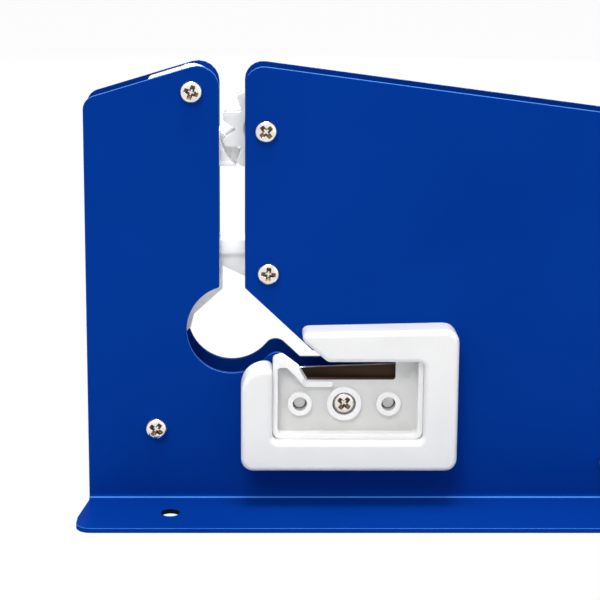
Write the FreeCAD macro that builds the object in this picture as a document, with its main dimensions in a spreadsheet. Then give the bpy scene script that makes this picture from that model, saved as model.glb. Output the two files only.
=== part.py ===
import FreeCAD, Part
import math
import os
import re

import Sketcher

# Bag neck sealer for a shop counter: two folded side plates with a slot, a throat and a trimming
# channel, a tape wheel and its presser arm at the top of the slot, a cutter lever below them, a
# trimmer with a small blade on the front plate and a lift-out tape reel at the rear.
#
# Lengths are millimetres and angles degrees. +X runs from the slot end to the reel end, -Y is the
# front, +Z is up, and the origin is at the middle of the footprint on the counter.
# Names that end in _u are distances from the slot end of the plates, and names that end in _z are
# heights above the counter.

SIZES = [
    ("sheet", 1.6, "thickness of the side plates"),
    ("plate_gap", 14.4, "clear gap between the side plates"),
    ("plate_length", 268, "length of a side plate"),
    ("tower_z", 137.1, "height of the tower's outer edge before rounding"),
    ("tower_slope", 16.7, "rise of the tower's top"),
    ("tower_outer_corner", 4.5, "corner radius at the slot end"),
    ("tower_slot_corner", 7, "corner radius at the slot's left lip"),
    ("slot_u", 44.1, "left wall of the slot"),
    ("slot_width", 8.4, "width of the slot"),
    ("body_z", 148.5, "height of the body's top at the slot"),
    ("body_slope", 7.7, "fall of the body's top towards the reel"),
    ("body_slot_corner", 6, "corner radius at the slot's right lip"),
    ("rear_corner", 42, "corner radius at the reel end"),
    ("throat_u", 48.2, "centre of the round throat"),
    ("throat_z", 60.2, "centre of the round throat"),
    ("throat_radius", 15, "radius of the throat"),
    ("throat_angle", 43.5, "fall of the way from the throat to the channel"),
    ("lip_z", 74.4, "height where the slot's right wall turns into the slanted wall"),
    ("way_width", 7.6, "width of the slanted way, square to its walls"),
    ("channel_z", 46, "floor of the trimming channel"),
    ("channel_height", 7, "height of the trimming channel"),
    ("channel_end_u", 101, "closed end of the trimming channel"),
    ("hump_radius", 4.1, "radius of the hump between throat and channel"),
    ("cut_corner", 1, "small corners of the cut-out"),
    ("channel_corner", 3.4, "corner radius at the channel's closed end"),
    ("flange_width", 27.1, "reach of a foot flange beyond its plate"),
    ("flange_flare", 2.4, "how far a flange spreads past the plate's ends"),
    ("flare_start", 1, "plate side of the flare"),
    ("flare_run", 15, "length over which the flange flares"),
    ("flange_corner", 5, "corner radius of a flange"),
    ("bend_radius", 1.5, "inner radius of the fold"),
    ("foot_hole_u", 27.9, "foot hole from the plate's end"),
    ("foot_hole_reach", 13.7, "foot hole from the plate's outer face"),
    ("foot_hole_radius", 3, "radius of a foot hole"),
    ("wheel_u", 59.3, "axis of the tape wheel"),
    ("wheel_z", 126.7, "axis of the tape wheel"),
    ("presser_u", 35.1, "axis of the presser arm"),
    ("presser_z", 139.6, "axis of the presser arm"),
    ("lever_u", 60.2, "axis of the cutter lever"),
    ("lever_z", 79.4, "axis of the cutter lever"),
    ("spacer_u", 22.9, "lower spacer"),
    ("spacer_z", 26.1, "lower spacer"),
    ("rear_low_inset", 13, "rear spacer, from the plate's reel end"),
    ("rear_mid_inset", 93, "middle spacer, from the plate's reel end"),
    ("rear_spacer_z", 14, "rear and middle spacer"),
    ("thread_radius", 1.95, "outer radius of the assembly screws"),
    ("thread_gap", 0.05, "gap between a screw and its thread bore"),
    ("hole_gap", 0.15, "gap between a screw and its plate hole"),
    ("head_radius", 3.5, "radius of a pan head"),
    ("head_height", 2.4, "height of a pan head"),
    ("head_slope", 1.2, "slope round a pan head"),
    ("screw_length", 8, "screw length below the head"),
    ("bush_radius", 5, "outer radius of bushes and spacers"),
    ("running_gap", 0.06, "gap between a bush and what turns on it"),
    ("side_gap", 0.35, "gap beside a moving piece"),
    ("tooth_count", 10, "teeth of the tape wheel"),
    ("tooth_tip_radius", 14.4, "reach of the tooth tips"),
    ("tooth_root_radius", 9.2, "radius at the tooth roots"),
    ("tooth_base_half", 3.2, "half width of a tooth inside the root"),
    ("tooth_base_radius", 8.2, "where the tooth outline starts"),
    ("tooth_tip_half", 1.35, "half width of a tooth tip"),
    ("tooth_phase", 18, "turn of the first tooth"),
    ("wheel_width", 9.6, "width of the tape wheel"),
    ("wheel_groove_width", 3.4, "groove in which the nose of the presser runs"),
    ("wheel_groove_radius", 7.9, "floor of that groove"),
    ("wheel_dish_radius", 7.4, "dish in each side of the wheel"),
    ("wheel_dish_depth", 1.2, "depth of that dish"),
    ("presser_boss", 7.5, "radius of the presser arm's boss"),
    ("nose_width", 2.4, "width of the nose that enters the wheel"),
    ("nose_gap", 0.8, "gap between the wide nose and the tooth tips"),
    ("nose_u", 51.4, "reach of the nose"),
    ("nose_top_z", 118.7, "top of the nose's end"),
    ("nose_low_z", 115, "underside of the nose"),
    ("tail_u", 20.5, "end of the presser arm's tail"),
    ("tail_low_z", 134.6, "underside of the tail"),
    ("tail_drop", 1.4, "how far the tail's top lies below the plates"),
    ("nose_depth", 11, "how far the nose's underside reaches back"),
    ("recess_left", 7.4, "recess in the nose, its left side from the nose's end"),
    ("recess_right", 2.6, "recess in the nose, its right side from the nose's end"),
    ("hook_pin_u", 23.2, "cross pin in the tail that holds the spring"),
    ("hook_pin_z", 137.4, "cross pin in the tail that holds the spring"),
    ("slit_relief", 1, "how far the tail's slit runs past its end"),
    ("post_radius", 1.6, "radius of the spring posts and stops"),
    ("presser_post_z", 104, "lower post of the presser spring"),
    ("presser_stop_u", 24, "stop under the tail"),
    ("presser_stop_length", 4, "length of that stop"),
    ("stop_gap", 0.3, "gap at a stop at rest"),
    ("paddle_top_z", 90.3, "top of the cutter lever's paddle"),
    ("paddle_step_z", 85.6, "step in the paddle's front"),
    ("paddle_tip_u", 43.4, "end of the paddle"),
    ("paddle_tip_low_z", 82.1, "underside of the paddle at its end"),
    ("paddle_root_u", 52.2, "where the paddle's underside turns down"),
    ("paddle_root_z", 77.8, "where the paddle's underside turns down"),
    ("paddle_step", 1.6, "depth of the step in the paddle's front"),
    ("paddle_back", 3.9, "back face of the paddle"),
    ("lever_boss", 7, "radius of the cutter lever's boss"),
    ("mast_width", 8, "width of the cutter lever's mast"),
    ("mast_depth", 6, "depth of the mast"),
    ("mast_height", 26.4, "height of the mast above its axis"),
    ("head_depth", 10.4, "depth of the knife seat on the mast"),
    ("head_thickness", 3, "thickness of the knife seat"),
    ("knife_reach", 6.8, "reach of the knife towards the slot"),
    ("knife_back", 5.4, "reach of the knife away from the slot"),
    ("knife_width", 12.8, "width of the knife"),
    ("knife_thickness", 0.6, "thickness of the knife"),
    ("knife_tooth", 1.6, "pitch and depth of the knife's teeth"),
    ("rivet_radius", 1.2, "radius of a knife rivet"),
    ("rivet_spacing", 6, "distance between the knife rivets"),
    ("rivet_head_radius", 1.9, "radius of a rivet head"),
    ("rivet_head_height", 0.8, "height of a rivet head"),
    ("lever_tail_reach", 14.4, "hook hole in the lever's tail, from the axis"),
    ("lever_tail_half", 3, "half height of the lever's tail"),
    ("lever_tail_depth", 2, "depth of the lever's tail"),
    ("eye_radius", 0.9, "radius of the hook hole in the lever's tail"),
    ("lever_post_z", 59.4, "lower post of the lever spring"),
    ("lever_stop_rise", 20, "stop of the mast, above the lever's axis"),
    ("spring_radius", 2.4, "outer radius of the springs"),
    ("spring_wire", 0.8, "thickness of the spring wire"),
    ("loop_radius", 2.3, "radius of a spring's end loops, to the middle of the wire"),
    ("loop_reach", 1.8, "distance from a loop's centre to the first turn"),
    ("guide_thickness", 3, "thickness of the throat guide"),
    ("guide_boss", 7.4, "radius of the guide's boss"),
    ("guide_neck", 6, "half width of the guide at its boss"),
    ("guide_face_u", 45, "face of the guide in the slot"),
    ("guide_face_z", 71, "lower end of that face"),
    ("guide_top_z", 82, "top of the guide"),
    ("guide_top_u", 41.5, "left end of the guide's top"),
    ("guide_step_u", 38, "step that leaves room for the swinging knife"),
    ("guide_step_z", 76, "step that leaves room for the swinging knife"),
    ("guide_shoulder_u", 30, "left end of the step"),
    ("guide_left_u", 20.5, "left side of the guide beside the throat"),
    ("guide_edge_u", 35.3, "upper corner of the edge in the throat"),
    ("guide_edge_z", 62.1, "upper corner of the edge in the throat"),
    ("guide_low_u", 34.2, "lower corner of the edge in the throat"),
    ("guide_low_z", 57.5, "lower corner of the edge in the throat"),
    ("guide_foot_u", 30.5, "lower end of the edge in the throat"),
    ("guide_foot_z", 54, "lower end of the edge in the throat"),
    ("peg_radius", 1.5, "radius of the guide's peg"),
    ("peg_u", 33, "peg of the guide"),
    ("peg_z", 72.6, "peg of the guide"),
    ("guard_left_u", 51.2, "left side of the trimmer guard"),
    ("guard_right_u", 122.6, "right side of the trimmer guard"),
    ("guard_low_z", 14.2, "bottom of the trimmer guard"),
    ("guard_top_z", 61.6, "top of the guard's arm at its free end"),
    ("guard_top_rise", 1.2, "how much higher the arm is at its root"),
    ("guard_height", 10, "how far the guard stands off the plate"),
    ("guard_bar", 10.4, "width of the guard's side and bottom bars"),
    ("guard_right_bar", 11.3, "width of the guard's right bar"),
    ("arm_low_z", 51.6, "underside of the guard's arm"),
    ("arm_end_u", 71.3, "free end of the guard's arm"),
    ("arm_end_low_z", 60, "lower corner of the arm's end"),
    ("arm_toe_u", 79.7, "where the arm's slanted end meets its underside"),
    ("guard_shoulder_z", 52.8, "top of the guard's left bar"),
    ("guard_shoulder_radius", 7, "rounding of that bar's outer corner"),
    ("guard_corner", 4, "outer corner radius of the guard"),
    ("guard_inner_corner", 2, "inner corner radius of the guard"),
    ("guard_edge_round", 0.9, "rounding of the guard's front edges"),
    ("guard_peg_z", 34, "pegs on the guard's back"),
    ("tray_gap", 0.3, "gap between the guard and the blade holder"),
    ("tray_peak_z", 53.5, "top of the holder's peak"),
    ("tray_peak_u", 64.3, "right side of the holder's peak"),
    ("tray_rim_height", 7, "how far the holder's rim stands off the plate"),
    ("tray_floor_height", 3.4, "front of the holder's floor, off the plate"),
    ("tray_rim", 1.6, "width of the holder's rim"),
    ("tray_corner", 1.6, "corner radius of the holder"),
    ("window_left_u", 73.3, "lower left corner of the blade window"),
    ("window_right_u", 102.3, "right side of the blade window"),
    ("window_z", 44.5, "bottom of the blade window"),
    ("rib_u", 72.9, "corner of the holder's rib"),
    ("rib_z", 42.6, "corner of the holder's rib"),
    ("rib_end_u", 81.5, "end of the holder's rib"),
    ("rib_start_u", 65.2, "start of the holder's rib"),
    ("rib_start_z", 51, "start of the holder's rib"),
    ("rib_half", 0.9, "half width of the rib"),
    ("rib_slant", 1.3, "half width of the slanted part, measured level"),
    ("post_height", 6.6, "height of the holder's posts, off the plate"),
    ("boss_height", 5.6, "height of the holder's screw boss, off the plate"),
    ("trimmer_u", 85.4, "trimmer screw"),
    ("trimmer_z", 35.2, "trimmer screw and pins"),
    ("pin_inset", 3.6, "pins, from the blade's ends"),
    ("holder_post_radius", 4, "outer radius of a holder post"),
    ("holder_post_bore", 2.35, "bore of a holder post"),
    ("holder_boss_radius", 5.7, "radius of the screw boss"),
    ("pin_radius", 2.2, "radius of a locating pin"),
    ("pin_head_height", 3.6, "front end of a pin, off the plate"),
    ("pin_fit", 0.05, "gap round a pin"),
    ("trimmer_screw_length", 13, "length of the trimmer screw"),
    ("nut_width", 7, "width of the trimmer nut across its flats"),
    ("nut_height", 3.2, "height of the trimmer nut"),
    ("blade_thickness", 0.4, "thickness of the trimmer blade"),
    ("blade_length", 36.6, "length of the blade"),
    ("blade_edge_z", 47.4, "cutting edge at the blade's left end"),
    ("blade_rise", 1.4, "rise of the cutting edge along the blade"),
    ("blade_low_z", 29, "back of the blade"),
    ("blade_bevel", 0.28, "bevel of the cutting edge"),
    ("axle_inset", 64, "axis of the reel axle, from the plate's reel end"),
    ("axle_z", 83, "axis of the reel axle"),
    ("axle_radius", 4, "radius of the reel axle"),
    ("axle_slot_gap", 0.3, "gap between the axle and its slots"),
    ("axle_slot_angle", 65, "lean of the axle slots"),
    ("axle_cap_radius", 8, "radius of the axle's end caps"),
    ("axle_cap_height", 5, "thickness of the axle's end caps"),
    ("axle_cap_gap", 0.5, "gap between a cap and its plate"),
    ("axle_cap_slope", 1.2, "slope round the outer face of a cap"),
    ("washer_radius", 8.5, "radius of the reel washers"),
    ("washer_thickness", 0.8, "thickness of the reel washers"),
    ("hub_radius", 37.8, "outer radius of the tape hub"),
    ("hub_rim", 2.6, "wall of the tape hub"),
    ("hub_width", 11.4, "width of the tape hub"),
    ("hub_boss", 8, "radius of the hub's boss"),
    ("hub_web", 2.4, "thickness of the hub's web"),
    ("hub_window", 8.4, "radius of the round windows in the web"),
    ("hub_window_count", 5, "round windows in the web"),
    ("hub_rib_count", 3, "grip ribs on the hub"),
    ("hub_rib_height", 0.8, "height of a grip rib"),
    ("hub_rib_width", 5, "width of a grip rib"),
    ("hub_side_gap", 0.35, "gap between the hub and its washers"),
]

size = {name: float(value) for name, value, note in SIZES}
TOUCH = 1e-4

doc = FreeCAD.newDocument("BagNeckSealer")


def fill_sheet():
    sheet = doc.addObject("Spreadsheet::Sheet", "Sizes")
    for row, (name, value, note) in enumerate(SIZES, 1):
        sheet.set("A%d" % row, name)
        sheet.set("B%d" % row, str(value))
        sheet.set("C%d" % row, note)
        sheet.setAlias("B%d" % row, name)
    doc.recompute()


def bound(text):
    """An expression in which every size name points at its cell."""
    return re.sub(r"[a-z][a-z_]+", lambda word: cell(word.group()), text)


def cell(word):
    return "Sizes." + word if word in size else word


def turned(function, angle):
    """A sine, cosine or tangent of an angle that is given in degrees."""
    return "%s((%s) * 1deg)" % (function, angle)


# Helpers for bodies, sketches and features.

def new_body(label, x="0", y="0", z="0"):
    body = doc.addObject("PartDesign::Body", label)
    body.Label = label
    for axis, text in (("x", x), ("y", y), ("z", z)):
        body.setExpression("Placement.Base." + axis, bound(text))
    return body


def plate_body(label, y="0"):
    """A body whose own X is measured from the slot end of the plates."""
    return new_body(label, x="-plate_length / 2", y=y)


def pivot_body(label, u, z):
    return new_body(label, x="%s - plate_length / 2" % u, z=z)


def new_sketch(body, name, plane="XZ_Plane", depth="0"):
    sketch = body.newObject("Sketcher::SketchObject", body.Name + "_" + name)
    planes = [item for item in body.Origin.OriginFeatures if item.Role == plane]
    sketch.AttachmentSupport = [(planes[0], "")]
    sketch.MapMode = "FlatFace"
    sketch.setExpression("AttachmentOffset.Base.z", bound(depth))
    return sketch


def set_size(sketch, kind, where, text, near=1.0):
    """Near is the value from which the sketch starts to solve."""
    index = sketch.addConstraint(Sketcher.Constraint(kind, *where, near))
    sketch.setExpression("Constraints[%d]" % index, bound(text))


def set_point(sketch, edge, end, x, y, near=FreeCAD.Vector(1, 1, 0)):
    set_size(sketch, "DistanceX", (edge, end), x, near.x)
    set_size(sketch, "DistanceY", (edge, end), y, near.y)


def outline(body, name, corners, plane="XZ_Plane", depth="0"):
    """A closed outline of straight edges through the given corners."""
    sketch = new_sketch(body, name, plane, depth)
    count = len(corners)
    for i in range(count):
        start, end = FreeCAD.Vector(i, i * i, 0), FreeCAD.Vector(i + 1, (i + 1) ** 2, 0)
        sketch.addGeometry(Part.LineSegment(start, end), False)
    for i in range(count):
        sketch.addConstraint(Sketcher.Constraint("Coincident", i, 2, (i + 1) % count, 1))
    for i, (x, y) in enumerate(corners):
        set_point(sketch, i, 1, x, y)
    doc.recompute()
    return sketch


def circles(body, name, places, plane="XZ_Plane", depth="0"):
    """Circles given as centre and radius."""
    sketch = new_sketch(body, name, plane, depth)
    for i, (x, y, radius) in enumerate(places):
        circle = Part.Circle(FreeCAD.Vector(i, i, 0), FreeCAD.Vector(0, 0, 1), 1)
        sketch.addGeometry(circle, False)
        set_point(sketch, i, 3, x, y)
        set_size(sketch, "Radius", (i,), radius)
    doc.recompute()
    return sketch


def box(body, name, low_x, low_y, high_x, high_y, plane="XZ_Plane", depth="0"):
    corners = [(low_x, low_y), (high_x, low_y), (high_x, high_y), (low_x, high_y)]
    return outline(body, name, corners, plane, depth)


def pad(sketch, length, way="front"):
    """Way is front or back for an XZ sketch, up or down for an XY sketch, or both."""
    body = sketch.getParentGeoFeatureGroup()
    feature = body.newObject("PartDesign::Pad", sketch.Name + "_pad")
    feature.Profile = sketch
    feature.SideType = "Symmetric" if way == "both" else "One side"
    feature.Reversed = way in ("back", "down")
    feature.setExpression("Length", bound(length))
    doc.recompute()
    return feature


def cut(sketch, length=None, way="both"):
    """Cuts to a length, or through everything when no length is given."""
    body = sketch.getParentGeoFeatureGroup()
    before = body.Shape.Volume
    feature = body.newObject("PartDesign::Pocket", sketch.Name + "_cut")
    feature.Profile = sketch
    feature.SideType = "Symmetric" if way == "both" else "One side"
    feature.Reversed = way in ("front", "up")
    if length is None:
        feature.Type = "ThroughAll"
    else:
        feature.setExpression("Length", bound(length))
    doc.recompute()
    if not body.Shape.Volume < before:
        raise ValueError(sketch.Name + " cuts nothing")
    return feature


def repeat(feature, sketch, count):
    """Turns a feature about the sketch's normal."""
    body = feature.getParentGeoFeatureGroup()
    pattern = body.newObject("PartDesign::PolarPattern", feature.Name + "_pattern")
    pattern.Originals = [feature]
    pattern.Axis = (sketch, ["N_Axis"])
    pattern.Angle = 360
    pattern.setExpression("Occurrences", bound(count))
    body.Tip = pattern
    doc.recompute()
    return pattern


def distance_to_line(point, start, direction):
    return (point - start).cross(direction).Length


def edges_along(body, points, direction):
    """Names of the straight edges that run along a direction through the points."""
    found = []
    for number, edge in enumerate(body.Tip.Shape.Edges, 1):
        ends = [vertex.Point for vertex in edge.Vertexes]
        if len(ends) < 2:
            continue
        for point in points:
            if all(distance_to_line(end, point, direction) < TOUCH for end in ends):
                found.append("Edge%d" % number)
    return found


def corner_edges(body, sketch, numbers):
    """Edges that stand on the numbered corners of a sketch."""
    normal = sketch.Placement.Rotation.multVec(FreeCAD.Vector(0, 0, 1))
    points = [sketch.Placement.multVec(sketch.Geometry[i].StartPoint) for i in numbers]
    return edges_along(body, points, normal)


def rounded(body, name, radius, edges, kind="PartDesign::Fillet", field="Radius"):
    if not edges:
        raise ValueError(body.Name + " has no edge for " + name)
    base = body.Tip
    feature = body.newObject(kind, body.Name + "_" + name)
    feature.Base = (base, edges)
    feature.setExpression(field, bound(radius))
    doc.recompute()
    return feature


def sloped(body, name, width, edges):
    return rounded(body, name, width, edges, "PartDesign::Chamfer", "Size")


def round_corners(body, sketch, name, rounds):
    """Rounds numbered corners, given as pairs of corner numbers and radius."""
    for i, (numbers, radius) in enumerate(rounds):
        rounded(body, "%s_%d" % (name, i), radius, corner_edges(body, sketch, numbers))


def rim_edges(body, y, inside=None):
    """Edges that lie in the plane of a given Y, kept where inside says so."""
    found = []
    for number, edge in enumerate(body.Tip.Shape.Edges, 1):
        extent = edge.BoundBox
        flat = abs(extent.YMin - y) < TOUCH and abs(extent.YMax - y) < TOUCH
        if flat and (inside is None or inside(edge.CenterOfMass)):
            found.append("Edge%d" % number)
    return found


def group(label, shape, places):
    """Copies of one shape as a single node of separate solids."""
    copies = []
    for place in places:
        copy = shape.copy()
        copy.Placement = place.multiply(copy.Placement)
        copies.append(copy)
    feature = doc.addObject("Part::Feature", label)
    feature.Label = label
    feature.Shape = Part.makeCompound(copies)
    return feature


def place(u, y, z, turn=0):
    position = FreeCAD.Vector(u - size["plate_length"] / 2, y, z)
    return FreeCAD.Placement(position, FreeCAD.Rotation(FreeCAD.Vector(0, 0, 1), turn))


OUTER_FACE = "(plate_gap / 2 + sheet)"
REAR = ("rear_low_inset", "rear_mid_inset")
PIVOTS = ("presser", "wheel", "lever", "spacer")
AXES = [(name + "_u", name + "_z") for name in PIVOTS]
AXES += [("(plate_length - %s)" % inset, "rear_spacer_z") for inset in REAR]
AXLE_U = "(plate_length - axle_inset)"
PIN_SPREAD = "(blade_length / 2 - pin_inset)"
SLOT_RIGHT = "(slot_u + slot_width)"
GUARD_PEGS = ("guard_left_u + guard_bar / 2", "guard_right_u - guard_right_bar / 2")


# Side plates: folded sheet with a foot flange, the slot, the throat and the trimming channel.

def throat_sketch(body):
    """The slot, the round throat, the slanted way and the channel as one outline."""
    sketch = new_sketch(body, "throat")
    rise = "(lip_z - channel_z)"
    slope = turned("tan", "throat_angle")
    wall_u = "%s + %s / %s" % (SLOT_RIGHT, rise, slope)
    floor_u = "%s - way_width / %s" % (wall_u, turned("sin", "throat_angle"))
    roof_z = "channel_z + channel_height"
    roof_u = "%s + (lip_z - (%s)) / %s" % (SLOT_RIGHT, roof_z, slope)
    above = "body_z + throat_radius"

    centre = FreeCAD.Vector(size["throat_u"], size["throat_z"], 0)
    ring = Part.Circle(centre, FreeCAD.Vector(0, 0, 1), size["throat_radius"])
    start = math.acos((size["slot_u"] - size["throat_u"]) / size["throat_radius"])
    arc = Part.ArcOfCircle(ring, start, math.radians(340))
    right = size["slot_u"] + size["slot_width"]
    tops = size["body_z"] + size["throat_radius"]
    fall = math.tan(math.radians(size["throat_angle"]))
    low = size["channel_z"]
    high = low + size["channel_height"]
    wall = right + (size["lip_z"] - low) / fall
    foot = wall - size["way_width"] / math.sin(math.radians(size["throat_angle"]))
    roof = right + (size["lip_z"] - high) / fall
    end = size["channel_end_u"]
    stops = [(foot, low), (end, low), (end, high), (roof, high), (right, size["lip_z"]),
             (right, tops), (size["slot_u"], tops)]
    points = [FreeCAD.Vector(u, z, 0) for u, z in stops]
    sketch.addGeometry(Part.LineSegment(points[-1], arc.StartPoint), False)
    sketch.addGeometry(arc, False)
    sketch.addGeometry(Part.LineSegment(arc.EndPoint, points[0]), False)
    for first, second in zip(points, points[1:]):
        sketch.addGeometry(Part.LineSegment(first, second), False)

    count = len(sketch.Geometry)
    for i in range(count):
        sketch.addConstraint(Sketcher.Constraint("Coincident", i, 2, (i + 1) % count, 1))
    set_point(sketch, 1, 3, "throat_u", "throat_z", centre)
    set_size(sketch, "Radius", (1,), "throat_radius", size["throat_radius"])
    sketch.addConstraint(Sketcher.Constraint("Vertical", 0))
    sketch.addConstraint(Sketcher.Constraint("Parallel", 2, 6))
    ends = [(floor_u, "channel_z"), ("channel_end_u", "channel_z"), ("channel_end_u", roof_z),
            (roof_u, roof_z), (SLOT_RIGHT, "lip_z"), (SLOT_RIGHT, above), ("slot_u", above)]
    for i, ((u, z), point) in enumerate(zip(ends, points), 3):
        set_point(sketch, i % count, 1, u, z, point)
    doc.recompute()
    return sketch


def side_plate(label, side):
    """Side is -1 for the front plate and 1 for the back plate."""
    way = "front" if side < 0 else "back"
    body = plate_body(label, y="%d * plate_gap / 2" % side)
    rear_z = "body_z - (plate_length - %s) * %s" % (SLOT_RIGHT, turned("tan", "body_slope"))
    peak_z = "tower_z + slot_u * %s" % turned("tan", "tower_slope")
    corners = [("0", "0"), ("plate_length", "0"), ("plate_length", rear_z), (SLOT_RIGHT, "body_z"),
               ("slot_u", peak_z), ("0", "tower_z")]
    blank = outline(body, "blank", corners)
    pad(blank, "sheet", way)

    flare_y = "%d * (sheet + bend_radius + flare_start + flare_run)" % side
    fold_y = "%d * (sheet + bend_radius + flare_start)" % side
    edge_y = "%d * (sheet + flange_width)" % side
    far_u = "plate_length + flange_flare"
    flange = outline(body, "flange", [
        ("0", "0"), ("0", fold_y), ("-flange_flare", flare_y), ("-flange_flare", edge_y),
        (far_u, edge_y), (far_u, flare_y), ("plate_length", fold_y), ("plate_length", "0"),
    ], plane="XY_Plane")
    pad(flange, "sheet", "up")
    round_corners(body, flange, "flange_corner", [((3, 4), "flange_corner")])

    along = FreeCAD.Vector(1, 0, 0)
    outside = edges_along(body, [FreeCAD.Vector(0, 0, 0)], along)
    rounded(body, "fold_outside", "bend_radius + sheet", outside)
    crease = FreeCAD.Vector(0, side * size["sheet"], size["sheet"])
    rounded(body, "fold_inside", "bend_radius", edges_along(body, [crease], along))

    throat = throat_sketch(body)
    cut(throat)
    round_corners(body, blank, "top_corner", [
        ((5,), "tower_outer_corner"), ((4,), "tower_slot_corner"),
        ((3,), "body_slot_corner"), ((2,), "rear_corner"),
    ])
    round_corners(body, throat, "throat_corner", [
        ((2,), "hump_radius"), ((1, 3, 6, 7), "cut_corner"),
        ((4, 5), "channel_corner"),
    ])

    slot_half = "(axle_radius + axle_slot_gap)"
    sine, cosine = turned("sin", "axle_slot_angle"), turned("cos", "axle_slot_angle")
    reach = "(body_z / %s)" % sine
    left_u, left_z = "%s - %s * %s" % (AXLE_U, slot_half, sine), "axle_z + %s * %s" % (slot_half, cosine)
    right_u, right_z = "%s + %s * %s" % (AXLE_U, slot_half, sine), "axle_z - %s * %s" % (slot_half, cosine)
    over_u, over_z = "%s * %s" % (reach, cosine), "%s * %s" % (reach, sine)
    cut(outline(body, "axle_slot", [
        (left_u, left_z), (right_u, right_z), (right_u + " + " + over_u, right_z + " + " + over_z),
        (left_u + " + " + over_u, left_z + " + " + over_z),
    ]))
    cut(circles(body, "axle_seat", [(AXLE_U, "axle_z", slot_half)]))

    holes = [(u, z, "thread_radius + hole_gap") for u, z in AXES]
    if side < 0:
        holes.append(("trimmer_u", "trimmer_z", "thread_radius + hole_gap"))
        for sign in ("-", "+"):
            pin_u = "trimmer_u %s %s" % (sign, PIN_SPREAD)
            holes.append((pin_u, "trimmer_z", "pin_radius + pin_fit"))
        holes += [(u, "guard_peg_z", "peg_radius + pin_fit") for u in GUARD_PEGS]
    else:
        holes.append(("peg_u", "peg_z", "peg_radius + pin_fit"))
    cut(circles(body, "screw_holes", holes))

    hole_y = "%d * (sheet + foot_hole_reach)" % side
    feet = [(u, hole_y, "foot_hole_radius") for u in ("foot_hole_u", "plate_length - foot_hole_u")]
    cut(circles(body, "foot_holes", feet, plane="XY_Plane"))
    return body


# Fasteners, bushes and spacers.

def pan_screw(label, length):
    """A pan head screw with its seat at the origin and its head towards -Y."""
    body = new_body(label)
    pad(circles(body, "head", [("0", "0", "head_radius")]), "head_height", "front")
    crown = rim_edges(body, -size["head_height"])
    sloped(body, "crown", "head_slope", crown)
    pad(circles(body, "shank", [("0", "0", "thread_radius")]), length, "back")
    return body


def tube(body):
    """A threaded steel tube that fills the gap between the plates."""
    radii = [("0", "0", "bush_radius"), ("0", "0", "thread_radius + thread_gap")]
    pad(circles(body, "ring", radii), "plate_gap", "both")
    return body


def rear_spacers():
    pattern = tube(new_body("spacer_pattern"))
    spots = [place(size["plate_length"] - size[inset], 0, size["rear_spacer_z"]) for inset in REAR]
    return group("rear_spacers", pattern.Shape, spots)


def plate_screws(pattern):
    face = size["plate_gap"] / 2 + size["sheet"]
    axes = [(size[name + "_u"], size[name + "_z"]) for name in PIVOTS]
    axes += [(size["plate_length"] - size[inset], size["rear_spacer_z"]) for inset in REAR]
    front = [place(u, -face, z) for u, z in axes]
    back = [place(u, face, z, 180) for u, z in axes]
    return [group("front_screws", pattern.Shape, front), group("back_screws", pattern.Shape, back)]


# Tape wheel: ten teeth in two rows, with a groove between them for the presser's nose.

def star_wheel():
    body = pivot_body("star_wheel", "wheel_u", "wheel_z")
    disc = circles(body, "disc", [("0", "0", "tooth_root_radius")])
    pad(disc, "wheel_width", "both")
    sine, cosine = turned("sin", "tooth_phase"), turned("cos", "tooth_phase")

    def spot(radius, half):
        return ("-%s * %s - (%s) * %s" % (radius, cosine, half, sine),
                "%s * %s - (%s) * %s" % (radius, sine, half, cosine))

    tooth = outline(body, "tooth", [
        spot("tooth_base_radius", "tooth_base_half"), spot("tooth_tip_radius", "tooth_tip_half"),
        spot("tooth_tip_radius", "-tooth_tip_half"), spot("tooth_base_radius", "-tooth_base_half"),
    ])
    repeat(pad(tooth, "wheel_width", "both"), disc, "tooth_count")
    rings = [("0", "0", "tooth_tip_radius + sheet"), ("0", "0", "wheel_groove_radius")]
    cut(circles(body, "groove", rings), "wheel_groove_width")
    for way, side in (("back", "+"), ("front", "-")):
        dish = circles(body, "dish_" + way, [("0", "0", "wheel_dish_radius"),
                                             ("0", "0", "bush_radius + sheet")],
                       depth="%s wheel_width / 2" % side)
        cut(dish, "wheel_dish_depth", way)
    cut(circles(body, "bore", [("0", "0", "bush_radius + running_gap")]))
    return body


# Presser arm: it hangs from the top of the tower and holds the bag neck against the wheel.

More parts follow.
